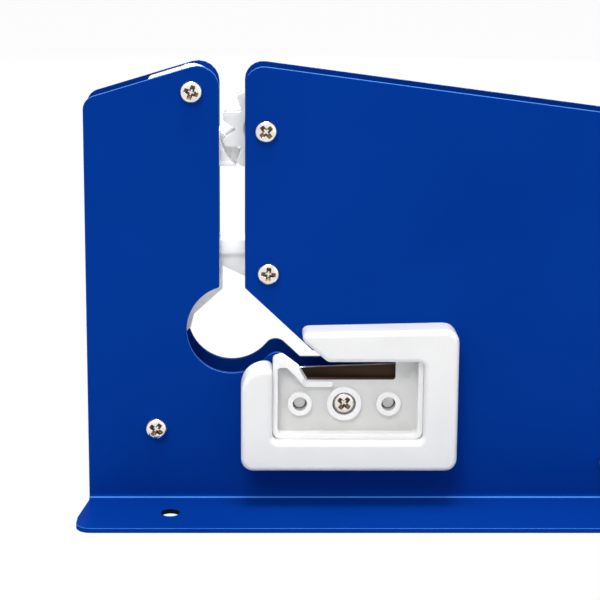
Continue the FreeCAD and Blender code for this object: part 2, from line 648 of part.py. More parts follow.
def presser_arm():
    body = plate_body("presser_arm")
    width = "plate_gap - 2 * side_gap"
    flank_u = "slot_u - 2 * side_gap"
    flank_z = "nose_top_z + nose_u - (%s)" % flank_u
    arm = outline(body, "arm", [
        ("nose_u - nose_depth", "nose_low_z"), ("nose_u - side_gap", "nose_low_z"), ("nose_u", "nose_top_z"),
        (flank_u, flank_z), ("presser_u + presser_boss", "presser_z"),
        ("presser_u - presser_boss", "presser_z"), ("presser_u - bush_radius", "tail_low_z - sheet"),
    ])
    pad(arm, width, "both")
    top_z = "tower_z - tail_drop + %s * " + turned("tan", "tower_slope")
    tail = outline(body, "tail", [
        ("tail_u", "tail_low_z"), ("presser_u", "tail_low_z"), ("presser_u", "presser_z + bush_radius"),
        ("presser_u - bush_radius", top_z % "(presser_u - bush_radius)"), ("tail_u", top_z % "tail_u"),
    ])
    pad(tail, width, "both")
    pad(circles(body, "boss", [("presser_u", "presser_z", "presser_boss")]), width, "both")
    clear = "tooth_tip_radius + nose_gap"
    for way, side in (("front", "+"), ("back", "-")):
        relief = circles(body, "relief_" + way, [("wheel_u", "wheel_z", clear)],
                         depth="%s nose_width / 2" % side)
        cut(relief, "plate_gap", way)
    pocket_z = "nose_low_z + sheet"
    core = outline(body, "core", [
        ("nose_u - recess_left", pocket_z), ("nose_u - recess_right", pocket_z),
        ("nose_u - recess_left", "nose_top_z + sheet"),
    ], depth="plate_gap / 2")
    cut(core, "plate_gap / 2 - nose_width", "back")
    cut(circles(body, "pin_hole", [("hook_pin_u", "hook_pin_z", "post_radius + pin_fit")]))
    slit = box(body, "slit", "tail_u - slit_relief", "tail_low_z - sheet",
               "hook_pin_u + spring_radius + side_gap", "hook_pin_z + 2 * bush_radius")
    cut(slit, "2 * spring_radius + 2 * side_gap")
    cut(circles(body, "bore", [("presser_u", "presser_z", "bush_radius + running_gap")]))
    return body


def hook_pin():
    """The cross pin in the presser's tail, round which the spring's upper loop lies."""
    body = pivot_body("hook_pin", "hook_pin_u", "hook_pin_z")
    pad(circles(body, "pin", [("0", "0", "post_radius")]), "plate_gap - 2 * side_gap", "both")
    return body


# Cutter lever: the paddle closes the slot, and the mast carries the knife.

def cutter_lever():
    body = plate_body("cutter_lever")
    front = "plate_gap / 2 - side_gap"
    paddle = outline(body, "paddle", [
        ("paddle_tip_u", "paddle_tip_low_z"), ("paddle_root_u", "paddle_root_z"),
        ("lever_u", "lever_z - lever_boss"), ("lever_u + lever_boss - side_gap", "lever_z"),
        ("lever_u", "paddle_top_z"), ("paddle_tip_u", "paddle_top_z"),
    ], depth=front)
    pad(paddle, "%s + paddle_back" % front, "back")
    round_corners(body, paddle, "tip", [((0, 5), "cut_corner")])
    pad(circles(body, "boss", [("lever_u", "lever_z", "lever_boss")]), "2 * (%s)" % front, "both")
    mast = box(body, "mast", "lever_u - mast_width / 2", "lever_z", "lever_u + mast_width / 2",
               "lever_z + mast_height")
    pad(mast, "mast_depth", "both")
    seat_u = "lever_u - mast_width / 2 - side_gap"
    seat = box(body, "seat", seat_u, "lever_z + mast_height - head_thickness",
               "lever_u + mast_width / 2 + side_gap", "lever_z + mast_height")
    pad(seat, "head_depth", "both")
    tail_end = "lever_u + lever_tail_reach"
    tail = box(body, "tail", "lever_u", "lever_z - lever_tail_half", tail_end,
               "lever_z + lever_tail_half")
    pad(tail, "lever_tail_depth", "both")
    eye = [(tail_end, "lever_z", "lever_tail_half")]
    pad(circles(body, "eye", eye), "lever_tail_depth", "both")
    step = box(body, "step", "paddle_tip_u - sheet", "lever_z - lever_boss", "lever_u - lever_boss",
               "paddle_step_z", depth=front)
    cut(step, "paddle_step", "back")
    cut(circles(body, "eye_hole", [(tail_end, "lever_z", "eye_radius")]))
    cut(circles(body, "bore", [("lever_u", "lever_z", "bush_radius + running_gap")]))
    rivets = [("lever_u", "%s rivet_spacing / 2" % sign, "rivet_radius") for sign in ("-", "+")]
    holes = circles(body, "rivet_holes", rivets, plane="XY_Plane", depth="lever_z + mast_height")
    cut(holes, "head_thickness", "down")
    return body


def tape_knife():
    """A thin serrated blade on top of the mast, its teeth towards the slot."""
    body = new_body("tape_knife", x="lever_u - plate_length / 2", z="lever_z + mast_height")
    plate = box(body, "plate", "-knife_reach", "-knife_width / 2", "knife_back", "knife_width / 2",
                plane="XY_Plane")
    pad(plate, "knife_thickness", "up")
    count = int(round(size["knife_width"] / size["knife_tooth"]))
    for i in range(count):
        low = "(-knife_width / 2 + %d * knife_tooth)" % i
        notch = outline(body, "notch_%d" % i, [
            ("-knife_reach - side_gap", low), ("-knife_reach", low),
            ("-knife_reach + knife_tooth", low + " + knife_tooth / 2"),
            ("-knife_reach", low + " + knife_tooth"), ("-knife_reach - side_gap", low + " + knife_tooth"),
        ], plane="XY_Plane")
        cut(notch)
    rivets = [("0", "%s rivet_spacing / 2" % sign, "rivet_radius") for sign in ("-", "+")]
    cut(circles(body, "rivet_holes", rivets, plane="XY_Plane"))
    return body


def knife_rivets():
    body = new_body("rivet_pattern")
    pad(circles(body, "head", [("0", "0", "rivet_head_radius")], plane="XY_Plane"),
        "rivet_head_height", "up")
    shank = circles(body, "shank", [("0", "0", "rivet_radius")], plane="XY_Plane")
    pad(shank, "knife_thickness + head_thickness", "down")
    top = size["lever_z"] + size["mast_height"] + size["knife_thickness"]
    half = size["rivet_spacing"] / 2
    spots = [place(size["lever_u"], y, top) for y in (-half, half)]
    return group("knife_rivets", body.Shape, spots)


# Springs, their posts and the stops.

def spring_posts():
    """Posts and stops that stand on the inner face of the back plate."""
    tops = {
        "presser_post": (size["hook_pin_u"], size["presser_post_z"]),
        "lever_post": (size["lever_u"] + size["lever_tail_reach"], size["lever_post_z"]),
        "lever_stop": (size["lever_u"] + size["mast_width"] / 2 + size["post_radius"]
                       + size["stop_gap"], size["lever_z"] + size["lever_stop_rise"]),
    }
    body = new_body("post_pattern")
    pad(circles(body, "post", [("0", "0", "post_radius")]), "plate_gap / 2 + spring_radius", "front")
    spots = [place(u, size["plate_gap"] / 2, z) for u, z in tops.values()]
    return group("posts", body.Shape, spots)


def presser_stop():
    """The short stop under the back cheek of the presser's tail."""
    body = new_body("presser_stop", x="presser_stop_u - plate_length / 2", y="plate_gap / 2",
                    z="tail_low_z - post_radius - stop_gap")
    pad(circles(body, "post", [("0", "0", "post_radius")]), "presser_stop_length", "front")
    return body


def end_loop(body, name, plane, z):
    """A flat ring, as thick as the wire, that stands in an upright plane."""
    rings = [("0", z, "loop_radius %s spring_wire / 2" % sign) for sign in "+-"]
    pad(circles(body, name, rings, plane), "spring_wire", "both")


def extension_spring(label, u, low_z, high_z, upper_plane):
    """A close-wound extension spring whose winding is a plain tube between its end loops."""
    body = pivot_body(label, u, low_z)
    rings = [("0", "0", "spring_radius"), ("0", "0", "spring_radius - spring_wire")]
    winding = circles(body, "winding", rings, plane="XY_Plane", depth="loop_reach")
    pad(winding, "(%s) - (%s) - 2 * loop_reach" % (high_z, low_z), "up")
    end_loop(body, "lower_loop", "XZ_Plane", "0")
    end_loop(body, "upper_loop", upper_plane, "(%s) - (%s)" % (high_z, low_z))
    return body


# Throat guide: a moulded cheek that closes the upper left of the throat.

def throat_guide():
    body = plate_body("throat_guide", y="plate_gap / 2 - guide_thickness")
    cheek = outline(body, "cheek", [
        ("guide_face_u", "guide_top_z"), ("guide_face_u", "guide_face_z"),
        ("guide_edge_u", "guide_edge_z"), ("guide_low_u", "guide_low_z"),
        ("guide_foot_u", "guide_foot_z"), ("spacer_u + guide_neck", "spacer_z"),
        ("spacer_u - guide_neck", "spacer_z"), ("guide_left_u", "throat_z"),
        ("guide_shoulder_u", "guide_step_z"), ("guide_step_u", "guide_step_z"),
        ("guide_top_u", "guide_top_z"),
    ])
    pad(cheek, "guide_thickness", "back")
    boss = circles(body, "boss", [("spacer_u", "spacer_z", "guide_boss")],
                   depth="plate_gap - guide_thickness")
    pad(boss, "plate_gap", "back")
    peg = circles(body, "peg", [("peg_u", "peg_z", "peg_radius")], depth="-guide_thickness")
    pad(peg, "sheet", "back")
    cut(circles(body, "bore", [("spacer_u", "spacer_z", "bush_radius + thread_gap")]))
    return body


# Trimmer: guard, blade holder, blade and fasteners on the front plate.

def trimmer_guard():
    body = plate_body("trimmer_guard", y="-" + OUTER_FACE)
    inner_left, inner_right = "guard_left_u + guard_bar", "guard_right_u - guard_right_bar"
    inner_low = "guard_low_z + guard_bar"
    frame = outline(body, "frame", [
        ("guard_left_u", "guard_low_z"), ("guard_right_u", "guard_low_z"),
        ("guard_right_u", "guard_top_z + guard_top_rise"), ("arm_end_u", "guard_top_z"),
        ("arm_end_u", "arm_end_low_z"), ("arm_toe_u", "arm_low_z"), (inner_right, "arm_low_z"),
        (inner_right, inner_low), (inner_left, inner_low), (inner_left, "guard_shoulder_z"),
        ("guard_left_u", "guard_shoulder_z"),
    ])
    pad(frame, "guard_height", "front")
    round_corners(body, frame, "corner", [
        ((0, 1, 2), "guard_corner"), ((10,), "guard_shoulder_radius"), ((6, 7, 8), "guard_inner_corner"),
        ((3, 4), "cut_corner"), ((5,), "guard_inner_corner"),
    ])

    face = rim_edges(body, -size["guard_height"])
    rounded(body, "edge", "guard_edge_round", face)
    pegs = circles(body, "pegs", [(u, "guard_peg_z", "peg_radius") for u in GUARD_PEGS])
    pad(pegs, "sheet", "back")
    return body


def blade_holder():
    body = plate_body("blade_holder", y="-" + OUTER_FACE)
    left, low = "guard_left_u + guard_bar + tray_gap", "guard_low_z + guard_bar + tray_gap"
    right, high = "guard_right_u - guard_right_bar - tray_gap", "arm_low_z - tray_gap"
    corners = [
        (left, low), (right, low), (right, high), ("window_right_u", high),
        ("window_right_u", "window_z"), ("window_left_u", "window_z"),
        ("tray_peak_u", "tray_peak_z"), (left, "tray_peak_z"),
    ]
    tray = outline(body, "tray", corners, depth="blade_thickness")
    pad(tray, "tray_rim_height - blade_thickness", "front")
    round_corners(body, tray, "corner", [((0, 1, 2, 7), "tray_corner"), ((4, 6), "cut_corner")])
    well = outline(body, "well", [
        (left + " + tray_rim", low + " + tray_rim"), (right + " - tray_rim", low + " + tray_rim"),
        (right + " - tray_rim", high + " + sheet"), ("window_right_u - sheet", high + " + sheet"),
        ("window_right_u - sheet", "window_z + sheet"), ("window_left_u", "window_z + sheet"),
        ("tray_peak_u + sheet", "tray_peak_z + sheet"), (left + " + tray_rim", "tray_peak_z + sheet"),
    ], depth="tray_rim_height")
    cut(well, "tray_rim_height - tray_floor_height", "back")
    rib = outline(body, "rib", [
        ("rib_start_u - rib_slant", "rib_start_z"), ("rib_u - rib_half / 2", "rib_z - rib_half"),
        ("rib_end_u", "rib_z - rib_half"), ("rib_end_u", "rib_z + rib_half"),
        ("rib_u + rib_half / 2", "rib_z + rib_half"), ("rib_start_u + rib_slant", "rib_start_z"),
    ], depth="tray_floor_height")
    pad(rib, "post_height - tray_floor_height", "front")
    posts = [("trimmer_u %s %s" % (sign, PIN_SPREAD), "trimmer_z", "holder_post_radius") for sign in "-+"]
    pad(circles(body, "posts", posts, depth="tray_floor_height"), "post_height - tray_floor_height")
    boss = [("trimmer_u", "trimmer_z", "holder_boss_radius")]
    pad(circles(body, "screw_boss", boss, depth="tray_floor_height"), "boss_height - tray_floor_height")
    bores = [("trimmer_u %s %s" % (sign, PIN_SPREAD), "trimmer_z", "holder_post_bore") for sign in "-+"]
    bores.append(("trimmer_u", "trimmer_z", "thread_radius + hole_gap"))
    cut(circles(body, "bores", bores))
    return body


def trimmer_blade():
    body = plate_body("trimmer_blade", y="-" + OUTER_FACE)
    left, right = "trimmer_u - blade_length / 2", "trimmer_u + blade_length / 2"
    plate = outline(body, "plate", [
        (left, "blade_low_z"), (right, "blade_low_z"), (right, "blade_edge_z + blade_rise"),
        (left, "blade_edge_z"),
    ])
    pad(plate, "blade_thickness", "front")
    holes = [("trimmer_u %s %s" % (sign, PIN_SPREAD), "trimmer_z", "pin_radius + pin_fit") for sign in "-+"]
    holes.append(("trimmer_u", "trimmer_z", "thread_radius + hole_gap"))
    cut(circles(body, "holes", holes))
    edge = [("Edge%d" % number) for number, edge in enumerate(body.Tip.Shape.Edges, 1)
            if abs(edge.CenterOfMass.y + size["blade_thickness"]) < TOUCH
            and abs(edge.CenterOfMass.z - size["blade_edge_z"] - size["blade_rise"] / 2) < TOUCH]
    sloped(body, "bevel", "blade_bevel", edge)
    return body


def locating_pins():
    body = new_body("pin_pattern")
    face = circles(body, "face", [("0", "0", "pin_radius")], depth="pin_head_height")
    pad(face, "pin_head_height + sheet", "back")
    spread = size["blade_length"] / 2 - size["pin_inset"]
    face = -size["plate_gap"] / 2 - size["sheet"]
    spots = [place(size["trimmer_u"] + sign * spread, face, size["trimmer_z"]) for sign in (-1, 1)]
    return group("locating_pins", body.Shape, spots)


def trimmer_nut():
    body = new_body("trimmer_nut", x="trimmer_u - plate_length / 2", y="-plate_gap / 2", z="trimmer_z")
    reach = "(nut_width / 2 / %s)" % turned("cos", "30")
    corners = [("%s * %s" % (reach, turned("cos", str(60 * i))),
                "%s * %s" % (reach, turned("sin", str(60 * i)))) for i in range(6)]
    pad(outline(body, "hexagon", corners), "nut_height", "back")
    cut(circles(body, "bore", [("0", "0", "thread_radius + thread_gap")]))
    return body


def trimmer_screw(pattern):
    seat = -size["plate_gap"] / 2 - size["sheet"] - size["boss_height"]
    return group("trimmer_screw", pattern.Shape, [place(size["trimmer_u"], seat, size["trimmer_z"])])


# Tape reel: an axle that drops into the slots, with a hub for the tape's core.

def reel_axle():
    body = pivot_body("reel_axle", AXLE_U, "axle_z")
    reach = "(plate_gap / 2 + sheet + axle_cap_gap)"
    pad(circles(body, "rod", [("0", "0", "axle_radius")]), "2 * %s" % reach, "both")
    for way, side in (("front", "+"), ("back", "-")):
        cap = circles(body, "cap_" + way, [("0", "0", "axle_cap_radius")], depth="%s %s" % (side, reach))
        pad(cap, "axle_cap_height", way)
    for sign in (-1, 1):
        face = sign * (size["plate_gap"] / 2 + size["sheet"] + size["axle_cap_gap"]
                       + size["axle_cap_height"])
        name = "cap_slope_front" if sign < 0 else "cap_slope_back"
        sloped(body, name, "axle_cap_slope", rim_edges(body, face))
    return body


def reel_washers():
    body = new_body("washer_pattern")
    rings = [("0", "0", "washer_radius"), ("0", "0", "axle_radius + thread_gap")]
    pad(circles(body, "ring", rings), "washer_thickness", "both")
    side = size["hub_width"] / 2 + size["hub_side_gap"] + size["washer_thickness"] / 2
    u = size["plate_length"] - size["axle_inset"]
    spots = [place(u, y, size["axle_z"]) for y in (-side, side)]
    return group("reel_washers", body.Shape, spots)


def reel_hub():
    body = pivot_body("reel_hub", AXLE_U, "axle_z")
    rim = circles(body, "rim", [("0", "0", "hub_radius"), ("0", "0", "hub_radius - hub_rim")])
    pad(rim, "hub_width", "both")
    pad(circles(body, "web", [("0", "0", "hub_radius - hub_rim / 2")]), "hub_web", "both")
    pad(circles(body, "boss", [("0", "0", "hub_boss")]), "hub_width", "both")
    middle = "(hub_boss + hub_radius - hub_rim) / 2"
    window = circles(body, "window", [("0", middle, "hub_window")])
    repeat(cut(window, "2 * hub_web"), rim, "hub_window_count")
    rib = box(body, "grip", "-hub_rib_width / 2", "hub_radius - hub_rim / 2", "hub_rib_width / 2",
              "hub_radius + hub_rib_height")
    repeat(pad(rib, "hub_width - 2 * hub_rim", "both"), rim, "hub_rib_count")
    cut(circles(body, "bore", [("0", "0", "axle_radius + running_gap")]))
    return body


def build():
    fill_sheet()
    screw = pan_screw("screw_pattern", "screw_length")
    long_screw = pan_screw("long_screw_pattern", "trimmer_screw_length")
    nodes = [side_plate("front_plate", -1), side_plate("back_plate", 1)]
    for label, name in (("wheel_bush", "wheel"), ("presser_bush", "presser"),
                        ("lever_bush", "lever"), ("lower_spacer", "spacer")):
        nodes.append(tube(pivot_body(label, name + "_u", name + "_z")))
    nodes += [rear_spacers(), *plate_screws(screw), spring_posts(), presser_stop()]
    nodes += [star_wheel(), presser_arm(), hook_pin(), cutter_lever(), tape_knife(), knife_rivets()]
    nodes.append(extension_spring("presser_spring", "hook_pin_u", "presser_post_z", "hook_pin_z",
                                  "XZ_Plane"))
    nodes.append(extension_spring("lever_spring", "(lever_u + lever_tail_reach)", "lever_post_z",
                                  "(lever_z - loop_radius)", "YZ_Plane"))
    nodes += [throat_guide(), trimmer_guard(), blade_holder(), trimmer_blade(), locating_pins()]
    nodes += [trimmer_nut(), trimmer_screw(long_screw), reel_axle(), reel_washers(), reel_hub()]
    return nodes


def check(nodes):
    doc.recompute()
    for item in doc.Objects:
        if "Invalid" in item.State or "Error" in item.State:
            raise ValueError(item.Name + " did not build")
    for node in nodes:
        if node.Shape.isNull() or not node.Shape.isValid():
            raise ValueError(node.Label + " has no valid shape")


nodes = build()
check(nodes)
os.makedirs("parts", exist_ok=True)
for node in nodes:
    node.Shape.exportStep("parts/%s.step" % node.Label)
    extent = node.Shape.BoundBox
    print("%-16s %2d solid(s) %10.1f mm3  x %.1f..%.1f  y %.1f..%.1f  z %.1f..%.1f" % (
        node.Label, len(node.Shape.Solids), node.Shape.Volume, extent.XMin, extent.XMax,
        extent.YMin, extent.YMax, extent.ZMin, extent.ZMax))
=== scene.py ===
# %% [markdown]
# This lesson dresses a bag neck sealer for a shop counter: two folded and painted side plates with
# a slot and a round throat, a toothed tape wheel, a presser arm, a cutter lever, a bag trimmer with
# its guard, and a tape reel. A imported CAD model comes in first, as a fixed frame. It says where
# each piece is and how it moves, so everything below is placed by it.

# %% Load the frame
import math

import bmesh
import bpy
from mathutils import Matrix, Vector


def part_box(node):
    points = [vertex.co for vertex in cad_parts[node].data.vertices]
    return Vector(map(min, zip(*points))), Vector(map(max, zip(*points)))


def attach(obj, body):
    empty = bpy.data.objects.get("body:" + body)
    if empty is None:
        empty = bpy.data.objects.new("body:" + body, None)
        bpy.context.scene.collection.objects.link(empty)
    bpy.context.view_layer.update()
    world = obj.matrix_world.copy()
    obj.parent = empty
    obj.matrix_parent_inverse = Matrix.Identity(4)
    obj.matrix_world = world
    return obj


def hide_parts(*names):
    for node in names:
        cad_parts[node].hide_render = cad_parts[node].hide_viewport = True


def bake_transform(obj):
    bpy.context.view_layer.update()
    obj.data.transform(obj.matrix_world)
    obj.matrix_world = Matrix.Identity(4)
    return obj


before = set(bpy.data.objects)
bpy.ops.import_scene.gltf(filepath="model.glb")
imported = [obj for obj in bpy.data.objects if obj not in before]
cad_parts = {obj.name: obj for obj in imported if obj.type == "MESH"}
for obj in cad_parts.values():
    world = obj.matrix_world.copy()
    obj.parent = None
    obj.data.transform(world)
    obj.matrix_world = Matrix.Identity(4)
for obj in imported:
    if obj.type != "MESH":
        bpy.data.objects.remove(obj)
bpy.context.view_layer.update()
MM = 0.001

# %% [markdown]
# All sizes below are millimetres on the real object. Its plates are long and the slot is near one
# end, so a place is given by u, the distance from that end, by y, the depth, and by z, the height
# above the counter. Front is minus Y, so depths are negative on the side that the camera sees. One function
# turns a place into Blender's metres, and the plates' own size is read from the frame.

# %% Places
INNER = 7.2
SHEET = 1.6
OUTER = INNER + SHEET
BEND_RADIUS = 1.5
FLARE = 2.4
plate_low, plate_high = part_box("front_plate")
LENGTH = round((plate_high.x - plate_low.x) / MM - 2 * FLARE, 2)
ORIGIN = LENGTH / 2


def spot(u, y, z):
    """A place on the object, as a Blender vector in metres."""
    return Vector((u - ORIGIN, y, z)) * MM


print("plates are %.1f mm long and stand %.1f mm apart" % (LENGTH, 2 * INNER))

# %% [markdown]
# Blender's tools act on whatever is selected, so each step first clears the selection and then
# picks corners, edges or faces by where they are, as a click would do by hand. These helpers do
# that. The last one applies what modifiers have made.

# %% Selecting helpers
DOUBLE = 0.001 * MM
CLOSE = 0.01 * MM


def clear_selection():
    if bpy.context.mode != "OBJECT":
        bpy.ops.object.mode_set(mode="OBJECT")
    bpy.ops.object.select_all(action="DESELECT")


def work_on(piece):
    clear_selection()
    piece.select_set(True)
    bpy.context.view_layer.objects.active = piece


def pick(piece, kind, wanted):
    """Opens a piece for editing and selects its VERT, EDGE or FACE parts that are wanted."""
    work_on(piece)
    bpy.ops.object.mode_set(mode="EDIT")
    bpy.ops.mesh.select_mode(type=kind)
    bpy.ops.mesh.select_all(action="DESELECT")
    mesh = bmesh.from_edit_mesh(piece.data)
    parts = {"VERT": mesh.verts, "EDGE": mesh.edges, "FACE": mesh.faces}[kind]
    for part in [part for part in parts if wanted(part)]:
        part.select_set(True)
    mesh.select_flush_mode()
    bmesh.update_edit_mesh(piece.data)


def close_edit():
    bpy.ops.object.mode_set(mode="OBJECT")


def tidy_normals(piece):
    """Joins doubled corners and points every face outwards."""
    pick(piece, "VERT", lambda vert: True)
    bpy.ops.mesh.remove_doubles(threshold=DOUBLE)
    bpy.ops.mesh.delete_loose(use_verts=True, use_edges=True, use_faces=False)
    bpy.ops.mesh.select_all(action="SELECT")
    bpy.ops.mesh.normals_make_consistent(inside=False)
    close_edit()


def apply_modifiers(piece):
    work_on(piece)
    for modifier in list(piece.modifiers):
        bpy.ops.object.modifier_apply(modifier=modifier.name)


# %% [markdown]
# Nearly every piece here starts as a flat outline: it is punched from sheet, or moulded in a
# straight draw. A drawn curve would need a flat fill afterwards. A circle with as many corners as
# the outline needs, each moved into place, gives a face at once. Round corners are arcs that meet
# both their sides, worked out from the radius on the drawing.

# %% Outline helpers
FEWEST_STEPS, STEP_FOR_EACH = 4, 2.5


def arc(u, z, radius, start, end, steps):
    """Places along a circle, from one angle to another, in degrees."""
    turns = [math.radians(start + (end - start) * i / steps) for i in range(steps + 1)]
    return [(u + radius * math.cos(turn), z + radius * math.sin(turn)) for turn in turns]


def rounded(corners):
    """Places along an outline of corners (u, z) or (u, z, radius)."""
    places = []
    for i, (u, z, *radius) in enumerate(corners):
        if not radius:
            places.append((u, z))
            continue
        here = Vector((u, z))
        back = (Vector(corners[i - 1][:2]) - here).normalized()
        onward = (Vector(corners[(i + 1) % len(corners)][:2]) - here).normalized()
        half = back.angle(onward) / 2
        middle = here + (back + onward).normalized() * radius[0] / math.sin(half)
        first = here + back * radius[0] / math.tan(half) - middle
        last = here + onward * radius[0] / math.tan(half) - middle
        start = math.degrees(math.atan2(first.y, first.x))
        turn = math.degrees(math.atan2(last.y, last.x)) - start
        turn = (turn + 180) % 360 - 180
        steps = FEWEST_STEPS + int(radius[0] / STEP_FOR_EACH)
        places += arc(middle.x, middle.y, radius[0], start, start + turn, steps)
    return places


def flat_face(places, y):
    """A filled face at one depth, from a ring of corners that are moved to their places."""
    clear_selection()
    bpy.ops.mesh.primitive_circle_add(vertices=len(places), radius=MM, fill_type="NGON")
    piece = bpy.context.object
    for corner, (u, z) in zip(piece.data.vertices, places):
        corner.co = spot(u, y, z)
    return piece


def block(corners, near, far):
    """An outline pulled from one depth to another."""
    piece = flat_face(rounded(corners), near)
    pick(piece, "FACE", lambda face: True)
    bpy.ops.mesh.extrude_region_move(TRANSFORM_OT_translate={"value": (0, (far - near) * MM, 0)})
    close_edit()
    tidy_normals(piece)
    return piece


# %% [markdown]
# Turned pieces and drilled holes are cylinders that run front to back. A drill is the same thing
# as a rod, taken away with a boolean instead of added, so both come from one helper. The rims of
# a turned piece are picked by their depth and bevelled.

# %% Turning and cutting helpers
FACETS = 64
SHARP_ABOVE = math.radians(50)


def rod(u, z, radius, near, far, facets=FACETS):
    """A cylinder that runs front to back between two depths."""
    clear_selection()
    bpy.ops.mesh.primitive_cylinder_add(
        vertices=facets, radius=radius * MM, depth=(far - near) * MM,
        location=spot(u, (near + far) / 2, z), rotation=(math.pi / 2, 0, 0))
    bpy.ops.object.transform_apply(location=True, rotation=True, scale=True)
    return bpy.context.object


def joined(pieces):
    """Several pieces as one object, their meshes side by side."""
    work_on(pieces[0])
    for piece in pieces[1:]:
        piece.select_set(True)
    if len(pieces) > 1:
        bpy.ops.object.join()
    return pieces[0]


def turned(u, z, profile, steps=FACETS):
    """A piece turned about an axis that runs front to back, from a ring of (radius, depth)."""
    clear_selection()
    bpy.ops.mesh.primitive_circle_add(vertices=len(profile), radius=MM, fill_type="NOTHING")
    piece = bpy.context.object
    for corner, (radius, y) in zip(piece.data.vertices, profile):
        corner.co = spot(u + radius, y, z)
    pick(piece, "EDGE", lambda edge: True)
    bpy.ops.mesh.spin(steps=steps, angle=2 * math.pi, axis=(0, 1, 0), center=spot(u, 0, z))
    close_edit()
    tidy_normals(piece)
    return piece


def combine(piece, others, how):
    """Adds other pieces to a piece with UNION, or takes them away with DIFFERENCE."""
    for other in others:
        tool = piece.modifiers.new("combine", "BOOLEAN")
        tool.operation = how
        tool.solver = "EXACT"
        tool.object = other
        apply_modifiers(piece)
        bpy.data.objects.remove(other)
    return piece


def at_depth(y):
    """Tells edges and faces that lie wholly at one depth."""
    return lambda part: all(abs(vert.co.y - y * MM) < CLOSE for vert in part.verts)


def bevel_rim(piece, y, width, steps):
    """Rounds the sharp edges that lie at one depth."""
    rim = at_depth(y)

    def sharp(edge):
        return edge.is_manifold and edge.calc_face_angle() > SHARP_ABOVE and rim(edge)

    pick(piece, "EDGE", sharp)
    bpy.ops.mesh.bevel(offset=width * MM, segments=steps, affect="EDGES", clamp_overlap=True)
    close_edit()


# %% [markdown]
# No real edge is sharp: paint builds up on it and a mould leaves it slightly round, and that thin
# round is what catches the light. A Bevel modifier rounds what is left sharp. Where corners lie
# close together it clamps its width, on some pieces down to nothing. A Weighted Normal modifier
# keeps the big flat faces flat in shading. fit() then names the piece, paints it and puts it in the
# frame: it rides on its body and stands for the CAD pieces that it replaces.

# %% Finishing helpers
SMOOTH_BELOW = math.radians(38)
EDGE_ANGLE = math.radians(35)


def soften(piece, width, steps=3, paint=-1):
    """Rounds every sharp edge by a width in millimetres, if asked with another of its paints."""
    edges = piece.modifiers.new("soft_edges", "BEVEL")
    edges.width = width * MM
    edges.segments = steps
    edges.limit_method = "ANGLE"
    edges.angle_limit = EDGE_ANGLE
    edges.use_clamp_overlap = True
    edges.material = paint
    apply_modifiers(piece)


def smooth(piece):
    work_on(piece)
    bpy.ops.object.shade_smooth_by_angle(angle=SMOOTH_BELOW)
    flat = piece.modifiers.new("flat_faces", "WEIGHTED_NORMAL")
    flat.keep_sharp = True
    apply_modifiers(piece)


def give_paints(piece, paints):
    piece.data.materials.clear()
    for paint in paints:
        piece.data.materials.append(paint)


def paint_faces(piece, number, wanted):
    """Gives the wanted faces of a piece another of its paints. Middles are in millimetres."""
    pick(piece, "FACE", lambda face: wanted(face, face.calc_center_median() / MM))
    piece.active_material_index = number
    bpy.ops.object.material_slot_assign()
    close_edit()


def fit(piece, name, body, slot, paints, *nodes):
    """Paints and names a finished piece, and puts it in its place in the frame."""
    if len(piece.data.materials) != len(paints):
        give_paints(piece, paints)
    smooth(piece)
    piece.name = name
    if body:
        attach(piece, body)
    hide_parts(*nodes)
    print("%s: %d faces" % (name, len(piece.data.polygons)))
    return piece


# %% [markdown]
# Every paint is built from nodes on Object coordinates, so it stays with its piece and needs no
# image. A noise gives the slow change of tone that any coat or moulding has, a finer one a little
# relief. The uniform values, such as how metallic it is, go on the shader's own sockets.

# %% Paint helpers
TONE_BAND = (0.35, 0.65)
GLOSS_BAND = (0.3, 0.7)


def new_paint(name):
    paint = bpy.data.materials.new(name)
    paint.use_nodes = True
    return paint, paint.node_tree.nodes, paint.node_tree.links


def shader(nodes):
    return nodes["Principled BSDF"]


def grain(nodes, links, scale, detail=3.0, stretch=(1, 1, 1)):
    """Noise on Object coordinates, with stretch for a brushed or rolled look."""
    place = nodes.new("ShaderNodeTexCoord")
    mapping = nodes.new("ShaderNodeMapping")
    mapping.inputs["Scale"].default_value = stretch
    noise = nodes.new("ShaderNodeTexNoise")
    noise.inputs["Scale"].default_value = scale
    noise.inputs["Detail"].default_value = detail
    links.new(place.outputs["Object"], mapping.inputs["Vector"])
    links.new(mapping.outputs["Vector"], noise.inputs["Vector"])
    return noise.outputs["Fac"]


def tone(nodes, links, value, low, high):
    """Colours the surface between two tones."""
    band = nodes.new("ShaderNodeValToRGB")
    for element, position, colour in zip(band.color_ramp.elements, TONE_BAND, (low, high)):
        element.position = position
        element.color = (*colour, 1)
    links.new(value, band.inputs["Fac"])
    links.new(band.outputs["Color"], shader(nodes).inputs["Base Color"])


def gloss(nodes, links, value, low, high):
    """Spreads the roughness between two values."""
    spread = nodes.new("ShaderNodeMapRange")
    spread.inputs["From Min"].default_value = GLOSS_BAND[0]
    spread.inputs["From Max"].default_value = GLOSS_BAND[1]
    spread.inputs["To Min"].default_value = low
    spread.inputs["To Max"].default_value = high
    links.new(value, spread.inputs["Value"])
    links.new(spread.outputs["Result"], shader(nodes).inputs["Roughness"])


def relief(nodes, links, value, strength, depth):
    """A fine bump, its depth in millimetres."""
    bump = nodes.new("ShaderNodeBump")
    bump.inputs["Strength"].default_value = strength
    bump.inputs["Distance"].default_value = depth * MM
    links.new(value, bump.inputs["Height"])
    links.new(bump.outputs["Normal"], shader(nodes).inputs["Normal"])
